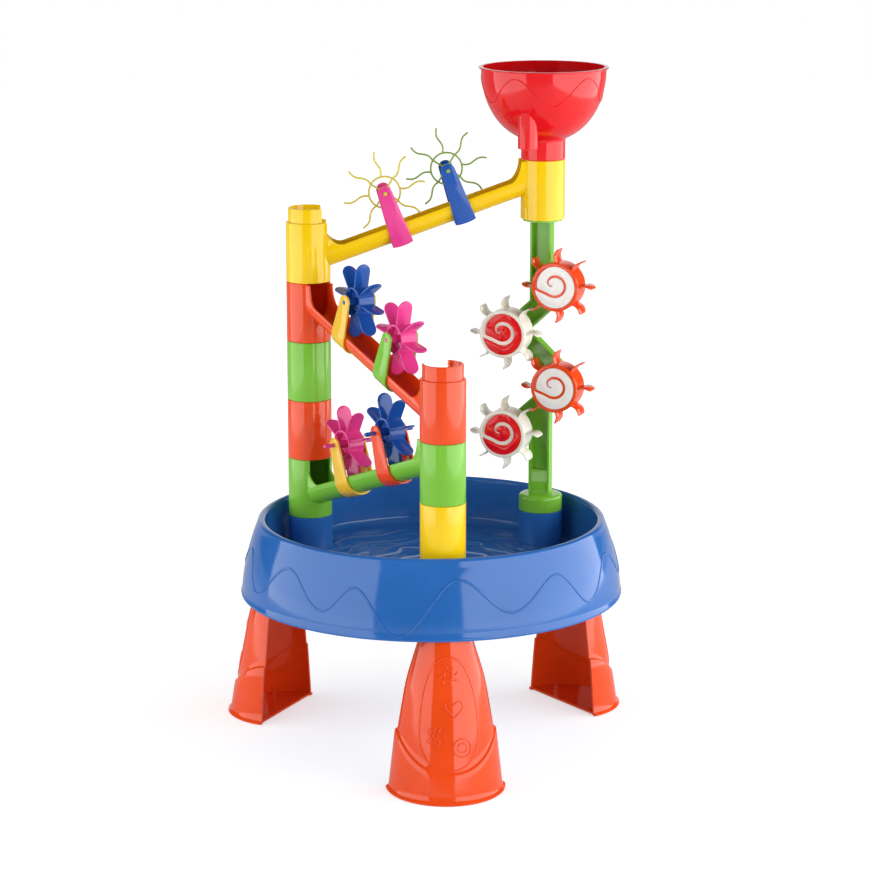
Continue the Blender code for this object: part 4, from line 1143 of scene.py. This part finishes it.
def petal():
    """A blade along +X: a narrow root, full sides and a round end, with soft edges."""
    round_end = PETAL_WIDTH / 2
    waist = PETAL_WAIST / 2
    centre = PADDLE_RADIUS - round_end
    side = [(PADDLE_HUB - 2 * WALL, waist), (PADDLE_HUB, waist)]
    for k in range(1, SHORT_STEPS):
        share = k / SHORT_STEPS
        half = waist + (round_end - waist) * ease(share)
        side.append((PADDLE_HUB + (centre - PADDLE_HUB) * share, half))
    tip = bow(centre, 0, round_end, round_end, 90, -90, PETAL_STEPS)
    outline = side + tip + [(reach, -half) for reach, half in reversed(side)]
    flat = prism(outline, -PETAL_THICKNESS / 2, PETAL_THICKNESS / 2)
    return bevelled(flat, PETAL_EDGE, segments=3)


@cache
def paddle_wheel_mesh(phase, offset, proud):
    """A drum with recessed sides and petal blades, and its axle."""
    wide = PADDLE_WIDTH / 2
    floor = wide - PADDLE_RECESS
    half = [
        (0, floor),
        (PADDLE_HUB - 2 * WALL, floor, EDGE),
        (PADDLE_HUB - WALL, wide, EDGE / 2),
        (PADDLE_HUB, wide, EDGE),
    ]
    petals = [moved(petal(), spin(360 * i / BLADE_COUNT) @ spin(90, "X")) for i in range(BLADE_COUNT)]
    wheel = lying(joined(turned(both_ways(half), WHEEL_FACETS), gathered(petals)))
    turn = Matrix.Rotation(radians(phase - 90) - SLOPE, 4, "Y")
    wheel = moved(wheel, Matrix.Translation((0, offset, 0)) @ turn)
    return joined(wheel, axle(BOSS_RADIUS, proud))


@cache
def sun_wheel_mesh(offset):
    """A wire ring with wavy rays and four spokes, and its axle."""
    half = SUN_WIRE / 2
    phase = SUN_PHASE - degrees(SLOPE)
    ring = [polar(SUN_RING, degrees(turn)) for turn in whole_turn(LOOP_POINTS)]
    wires = [wire(ring, half, ring=True)]
    for i in range(SUN_RAYS):
        angle = phase + 360 * i / SUN_RAYS
        spine = []
        for k in range(BOW_STEPS + 1):
            share = k / BOW_STEPS
            reach = SUN_RING + (SUN_RADIUS - half - SUN_RING) * share
            spine.append(polar(reach, angle) + polar(-SUN_WAVE * sin(tau * share), angle + 90))
        wires.append(wire(spine, half))
    for i in range(SUN_SPOKES // 2):
        angle = phase + 180 / SUN_SPOKES * (2 * i + 1)
        wires.append(wire([polar(SUN_RING, angle), polar(-SUN_RING, angle)], half))
    wheel = moved(lying(gathered(wires)), Matrix.Translation((0, offset, 0)) @ spin(180))
    return gathered([wheel, axle(SUN_HUB - FIT, SHORT_PIN)])


# Cascade


def bar(first, last, half, bottom, top):
    """A square-ended bar between two (x, y) points and two heights."""
    first, last = Vector(first), Vector(last)
    ahead = (last - first).normalized() * half
    side = Vector((-ahead.y, ahead.x))
    return prism([first - side, last - side, last + side, first + side], bottom, top)


def swirl_places():
    """Side and height of each swirl wheel's axis on the post, from the top down."""
    return [(-SWIRL_SIDE if i % 2 else SWIRL_SIDE, SWIRL_TOP - i * SWIRL_PITCH) for i in range(SWIRL_COUNT)]


def zigzag(half, foot, crown, bottom, top):
    """The post from the front: slanting runs with round corners between two uprights."""
    corners = swirl_places()
    discs = []
    for corner in corners:
        disc = turned(rod(half + POST_CORNER, bottom, top), WHEEL_FACETS)
        discs.append(shifted(disc, (*corner, 0)))
    runs = [bar(first, last, half, bottom, top) for first, last in zip(corners, corners[1:])]
    neck = bar((0, SWIRL_TOP - SWIRL_PITCH / 2), (0, crown), half, bottom, top)
    stem = bar((0, SWIRL_TOP - (SWIRL_COUNT - 1.5) * SWIRL_PITCH), (0, foot), half, bottom, top)
    return joined(gathered(discs), *runs, neck, stem)


def cascade_post_mesh():
    """A zigzag channel, open in front, on a base ring, with a plug inside the top tube."""
    half = POST_WIDTH / 2
    foot = BASE_RING_HEIGHT - WALL / 2
    channel_floor = POST_REAR + WALL
    outside = zigzag(half, foot, POST_HEIGHT, POST_REAR, POST_FRONT)
    inside = zigzag(half - WALL, foot + WALL, POST_HEIGHT - 2 * WALL, channel_floor, POST_FRONT + WALL)
    depth = (POST_REAR + WALL / 2, POST_FRONT - BLOCK_SETBACK)
    block = bar((0, foot), (0, NECK_TOP), (POST_WIDTH - WALL) / 2, *depth)
    body = joined(cut(outside, inside), bevelled(block, EDGE))
    back = channel_floor - WALL / 2
    boss_front = POST_FRONT - BOSS_SETBACK
    tip = POST_FRONT + SWIRL_BACK + SWIRL_PLATE - FIT
    stub = [(0, back), (PIN_BOSS, back), (PIN_BOSS, boss_front)]
    stub += [(PIN_RADIUS, boss_front), (PIN_RADIUS, tip), (0, tip)]
    stubs = [shifted(turned(stub, PIN_FACETS), (*place, 0)) for place in swirl_places()]
    body = lying(joined(body, gathered(stubs)))
    base = rod(TUBE_RADIUS, 0, BASE_RING_HEIGHT, (EDGE,), (BASE_ROUND,))
    socket = rod(TUBE_BORE, -WALL, BASE_RING_HEIGHT - 2 * WALL, high=(BASE_ROUND,))
    plug_top = POST_HEIGHT + CHANNEL_FLOOR - WALL - FIT
    plug = [
        (0, POST_HEIGHT - WALL),
        (SPIGOT_RADIUS, POST_HEIGHT - WALL),
        (SPIGOT_RADIUS, plug_top),
        (SPIGOT_BORE, plug_top),
        (SPIGOT_BORE, POST_HEIGHT + WALL),
        (0, POST_HEIGHT + WALL),
    ]
    body = joined(body, turned(base), turned(plug))
    return cut(body, turned(socket))


def vane():
    """A curved blade of a swirl wheel along +X, with round outer corners."""
    root = SWIRL_DRUM - WALL / 2
    half = VANE_THICKNESS / 2
    sections = []
    for k in range(LONG_STEPS + 1):
        share = k / LONG_STEPS
        reach = root + (SWIRL_RADIUS - root) * share
        bend = VANE_BULGE * sin(pi * share) - VANE_LEAN * share
        past = max(0, reach - (SWIRL_RADIUS - VANE_CORNER)) / VANE_CORNER
        shrink = VANE_CORNER * (1 - sqrt(max(VANE_TIP, 1 - past**2)))
        low = VANE_INSET + shrink
        high = SWIRL_PLATE - shrink
        left, right = bend - half, bend + half
        sections.append([(reach, left, low), (reach, right, low), (reach, right, high), (reach, left, high)])
    return bevelled(lofted(sections), VANE_EDGE)


def swirl_wheel_mesh():
    """A cup-shaped drum with curved vanes, its face towards +Z and its back at zero."""
    bore = PIN_RADIUS + FIT
    hub_back = FIT - SWIRL_BACK - BOSS_SETBACK
    drum = [
        (0, SWIRL_PLATE),
        (bore, SWIRL_PLATE),
        (bore, hub_back),
        (PIN_BOSS, hub_back, EDGE / 2),
        (PIN_BOSS, SWIRL_PLATE - WALL),
        (SWIRL_DRUM - WALL, SWIRL_PLATE),
        (SWIRL_DRUM - WALL, 0, EDGE / 2),
        (SWIRL_DRUM, 0, EDGE / 2),
        (SWIRL_DRUM, SWIRL_DEPTH, SWIRL_ROUND),
        (SWIRL_DRUM - INLAY_RIM, SWIRL_DEPTH, EDGE / 2),
        (SWIRL_DRUM - INLAY_RIM, SWIRL_FACE),
        (0, SWIRL_FACE),
    ]
    vanes = [moved(vane(), spin(360 * i / BLADE_COUNT)) for i in range(BLADE_COUNT)]
    return joined(turned(drum, WHEEL_FACETS), gathered(vanes))


def swirl_inlay_mesh(slot):
    """A snail: a disc with a spiral slot that runs in from its edge."""
    radius = SWIRL_DRUM - INLAY_RIM - FIT
    spine = []
    for k in range(LOOP_POINTS + 1):
        share = k / LOOP_POINTS
        swing = 2 * share - 1
        hook = SPIRAL_ENTRY if swing < 0 else SPIRAL_CURL
        reach = radius * (SPIRAL_MIDDLE - SPIRAL_DRIFT * swing - hook * swing**SPIRAL_POWER)
        shift = Vector(SPIRAL_SHIFT) * radius * min(1, SPIRAL_ONSET * share)
        spine.append(polar(reach, SPIRAL_START + SPIRAL_SWEEP * share).to_2d() + shift)
    left, right = [], []
    for k in range(1, LOOP_POINTS + 1):
        ahead = (spine[min(k + 1, LOOP_POINTS)] - spine[k - 1]).normalized()
        wide = slot / 2 * min(1, SPIRAL_TIP + SPIRAL_TAPER * (1 - k / LOOP_POINTS))
        normal = Vector((-ahead.y, ahead.x)) * wide
        left.append(spine[k] + normal)
        right.append(spine[k] - normal)
    mouth = degrees(slot / 2 / radius)
    edge = []
    for turn in arc(mouth, 360 - mouth, WHEEL_FACETS):
        tuck = SPIRAL_TUCK * ease(1 - (360 - mouth - degrees(turn)) / SPIRAL_TUCK_SWEEP)
        edge.append(polar(radius - tuck, SPIRAL_START + degrees(turn)).to_2d())
    return bevelled(prism(edge + left + right[::-1], SWIRL_FACE + FIT, SWIRL_DEPTH), EDGE / 3)


# Funnel


def oval(share):
    """The bowl's full oval: its height at a share of its radius, from 1 to 0."""
    return (1 - share**BOWL_FULLNESS) ** (1 / BOWL_FULLNESS)


def bowl(radius, depth, first):
    """The bowl's profile from a first radius out to its rim."""
    start = asin(first / radius)
    points = []
    for i in range(TALL_STEPS + 1):
        share = min(1, sin(start + (pi / 2 - start) * i / TALL_STEPS))
        points.append((radius * share, FUNNEL_HEIGHT - depth * oval(share)))
    return points


def funnel_mesh():
    """A deep bowl on a neck, with a spout that pours over the cascade."""
    outside = bowl(BOWL_RADIUS, BOWL_DEPTH, TUBE_RADIUS - NECK_ROUND)[:-1]
    lip_bottom = FUNNEL_HEIGHT - LIP_HEIGHT
    lip = BOWL_RADIUS + LIP_WIDTH
    outline = [(0, 0), (TUBE_RADIUS, 0, EDGE), (TUBE_RADIUS, outside[0][1], NECK_ROUND)]
    outline += [*outside[1:], (BOWL_RADIUS, lip_bottom)]
    outline += [(lip, lip_bottom, EDGE), (lip, FUNNEL_HEIGHT, EDGE), (0, FUNNEL_HEIGHT)]
    bore = BOWL_RADIUS - WALL
    hollow = [(0, -WALL), (TUBE_BORE, -WALL), (TUBE_BORE, FUNNEL_SOCKET), (DRAIN_RADIUS, FUNNEL_SOCKET)]
    hollow += bowl(bore, BOWL_DEPTH - WALL, DRAIN_RADIUS)
    hollow += [(bore, FUNNEL_HEIGHT + WALL), (0, FUNNEL_HEIGHT + WALL)]
    spout_top = FUNNEL_HEIGHT - BOWL_DEPTH * oval((SPOUT_REACH + SPOUT_RADIUS) / BOWL_RADIUS)
    pipe = rod(SPOUT_RADIUS, SPOUT_BOTTOM, spout_top + WALL, (EDGE,))
    pour = rod(SPOUT_RADIUS - WALL, SPOUT_BOTTOM - WALL, spout_top + 2 * WALL)
    aim = polar(SPOUT_REACH, POST_FACING - 90)
    body = joined(turned(outline, BOWL_FACETS), shifted(turned(pipe), aim))
    return cut(body, turned(hollow, BOWL_FACETS), shifted(turned(pour), aim))


def funnel_wave():
    """The wave line embossed round the bowl."""

    def radius_at(height):
        return BOWL_RADIUS * oval((FUNNEL_HEIGHT - height) / BOWL_DEPTH)

    places = []
    for i in range(LINE_POINTS):
        angle = 360 * i / LINE_POINTS
        swing = cos(radians(BOWL_WAVES * (angle - BOWL_WAVE_PEAK)))
        places.append((angle, FUNNEL_HEIGHT - BOWL_WAVE_DROP + BOWL_WAVE_SWING * swing))
    return embossed(radius_at, places, BOWL_PROBE, BOWL_WAVE_WIDTH, BOWL_WAVE_RAISED)


# Assembly


def column_place(column, module):
    """The middle of a column at the bottom of a module."""
    return polar(COLUMN_RADIUS, COLUMN_ANGLE[column], STACK_BOTTOM + module * MODULE_HEIGHT)


def upright(column, module, turn=0):
    return AXIS @ Matrix.Translation(column_place(column, module)) @ spin(turn)


def build():
    piece("basin_tub", basin_mesh(), "tub_blue", "frame", "basin")
    piece("basin_wave", skirt_wave(), "tub_blue", "frame")
    piece("basin_ripples", floor_ripples(), "tub_blue", "frame")
    leg, panel = leg_mesh(), leg_panel()
    for column, angle in COLUMN_ANGLE.items():
        place = AXIS @ spin(angle)
        piece(f"leg_{column}_shell", leg, "orange", "frame", f"leg_{column}", place=place)
        piece(f"leg_{column}_panel", panel, "orange", "frame", place=place)

    ring = ring_mesh()
    for name, colour, column, module in (
        ("left_ring_orange", "orange", "left", 1),
        ("left_ring_green", "green", "left", 2),
        ("front_ring_yellow", "yellow", "front", 0),
    ):
        piece(f"{name}_tube", ring, colour, "frame", name, place=upright(column, module))

    trough = trough_mesh()
    for colour, high, low, module in (
        ("green", "front", "left", 1),
        ("orange", "left", "front", 3),
        ("yellow", "right", "left", 5),
    ):
        run = column_place(low, 0) - column_place(high, 0)
        place = upright(high, module, degrees(atan2(run.y, run.x)))
        piece(f"{colour}_trough_channel", trough, colour, "frame", f"{colour}_trough", place=place)
        add_spinners(colour, place)

    facing = upright("right", 0, POST_FACING)
    piece("cascade_post_channel", cascade_post_mesh(), "green", "frame", "cascade_post", place=facing)
    wheel = swirl_wheel_mesh()
    inlays = {colour: swirl_inlay_mesh(slot) for colour, slot in SPIRAL_SLOT.items()}
    for number, (side, up) in enumerate(swirl_places(), 1):
        colour, spiral = ("orange", "white") if number % 2 else ("cream", "red")
        place = facing @ Matrix.Translation((side, -POST_FRONT - SWIRL_BACK, up)) @ spin(90, "X")
        body = f"swirl_wheel_{number}_body"
        piece(f"swirl_{number}_drum", wheel, colour, body, f"swirl_wheel_{number}", place=place)
        piece(f"swirl_{number}_spiral", inlays[colour], spiral, body, f"swirl_inlay_{number}", place=place)

    crown = upright("right", POST_MODULES + 1)
    piece("funnel_bowl", funnel_mesh(), "red", "frame", "funnel", place=crown)
    piece("funnel_wave", funnel_wave(), "red", "frame", place=crown)


def add_spinners(trough, place):
    """A trough's clip-on brackets and the wheels that spin in them, at their joints."""
    square = (place @ Matrix.Rotation(SLOPE, 4, "Y")).to_3x3().to_4x4()
    for holder, holder_colour, wheel, wheel_colour in SPINNERS[trough]:
        body = f"{wheel}_body"
        if trough in PADDLES:
            drop, strap, blades = PADDLE_PIVOT, paddle_bracket_mesh(), paddle_wheel_mesh(*PADDLES[trough])
        else:
            side = -1 if wheel == "sun_wheel_green" else 1
            drop, strap, blades = SUN_PIVOT, sun_bracket_mesh(), sun_wheel_mesh(side * SUN_OFFSET)
        pivot = Matrix.Translation(JOINTS[body]["pos_m"]) @ square
        hung = pivot @ Matrix.Translation((0, 0, -drop))
        piece(f"{holder}_strap", strap, holder_colour, "frame", holder, place=hung)
        piece(f"{wheel}_blades", blades, wheel_colour, body, wheel, place=pivot)


# Floor, camera and light


def look_from(target, azimuth, elevation, distance):
    """A matrix at a direction and distance from a target, looking at it."""
    away = polar(cos(radians(elevation)), azimuth, sin(radians(elevation)))
    spot = Matrix.Translation(Vector(target) + away * distance)
    return spot @ away.to_track_quat("Z", "Y").to_matrix().to_4x4()


def add_camera():
    data = bpy.data.cameras.new("camera")
    data.lens = CAMERA_LENS
    data.sensor_width = SENSOR
    data.clip_end = CAMERA_REACH
    camera = linked("camera", data)
    camera.matrix_world = look_from(AXIS @ Vector(LOOK_AT), CAMERA_AZIMUTH, CAMERA_ELEVATION, CAMERA_DISTANCE)
    bpy.context.scene.camera = camera


def add_softbox(name, azimuth, wide_angle, power):
    """A rectangular light that stands on the floor, some degrees round from the camera."""
    data = bpy.data.lights.new(name, "AREA")
    data.shape = "RECTANGLE"
    data.size = 2 * SOFTBOX_DISTANCE * tan(radians(wide_angle / 2))
    data.size_y = SOFTBOX_HEIGHT
    data.energy = power
    middle = AXIS @ Vector((0, 0, SOFTBOX_HEIGHT / 2))
    linked(name, data).matrix_world = look_from(middle, CAMERA_AZIMUTH + azimuth, 0, SOFTBOX_DISTANCE)


def seen_white(tree, glossy=1):
    """The share of white that a ray sees, and whether it comes from the camera."""
    path = node(tree, "ShaderNodeLightPath").outputs
    total = reckoned(tree, "MULTIPLY", path["Is Glossy Ray"], glossy)
    for name in ("Is Camera Ray", "Is Transmission Ray"):
        total = reckoned(tree, "MAXIMUM", total, path[name])
    return total, path["Is Camera Ray"]


def add_world():
    """A white backdrop behind the object, a dim room before it, and an even soft fill on it."""
    world = bpy.data.worlds.new("studio")
    bpy.context.scene.world = world
    world.use_nodes = True
    tree = world.node_tree
    tree.nodes.clear()
    sides = {0: node(tree, "ShaderNodeTexCoord").outputs["Generated"], 1: polar(-1, CAMERA_AZIMUTH)}
    behind = node(tree, "ShaderNodeVectorMath", sides, operation="DOT_PRODUCT").outputs["Value"]
    shown, camera = seen_white(tree)
    level = reckoned(tree, "MAXIMUM", ranged(tree, behind, ROOM_EDGE, (ROOM_LIGHT, 1)), camera)
    fill = node(tree, "ShaderNodeBackground", {"Color": FILL_COLOUR, "Strength": FILL_LIGHT})
    white = node(tree, "ShaderNodeBackground", {"Color": WHITE, "Strength": level})
    lights = {"Fac": shown, 1: fill.outputs["Background"], 2: white.outputs["Background"]}
    mix = node(tree, "ShaderNodeMixShader", lights)
    node(tree, "ShaderNodeOutputWorld", {"Surface": mix.outputs["Shader"]})


def add_floor():
    """A wide pale floor that looks white and keeps a soft shadow."""
    outline = [polar(FLOOR_RADIUS, 360 * i / FLOOR_FACETS).to_2d() for i in range(FLOOR_FACETS)]
    mesh = prism(outline, FLOOR_BOTTOM, FLOOR_TOP)
    floor = linked("floor", mesh)
    material = bpy.data.materials.new("floor")
    material.use_nodes = True
    tree = material.node_tree
    shader = tree.nodes["Principled BSDF"]
    look = {"Base Color": FLOOR_COLOUR, "Roughness": FLOOR_ROUGHNESS, "Specular IOR Level": FLOOR_SHINE}
    connect(tree, shader, look)
    place = node(tree, "ShaderNodeTexCoord").outputs["Object"]
    away = node(tree, "ShaderNodeVectorMath", {0: place}, operation="LENGTH").outputs["Value"]
    fade = ranged(tree, away, FLOOR_FADE, FLOOR_GLOW)
    level = reckoned(tree, "MULTIPLY", fade, seen_white(tree, GLOSSY_SHARE)[0])
    glow = node(tree, "ShaderNodeEmission", {"Color": WHITE, "Strength": level})
    both = node(tree, "ShaderNodeAddShader", {0: shader.outputs["BSDF"], 1: glow.outputs["Emission"]})
    connect(tree, tree.nodes["Material Output"], {"Surface": both.outputs["Shader"]})
    mesh.materials.append(material)
    floor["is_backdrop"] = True


build()
add_floor()
add_camera()
add_world()
add_softbox("left_softbox", *LEFT_SOFTBOX)
add_softbox("right_softbox", *RIGHT_SOFTBOX)
bpy.context.scene.view_settings.view_transform = "Standard"

boxes = {"cad": CAD_BOX, "visual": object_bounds()}
{name: [list(corner) for corner in box] for name, box in boxes.items()}
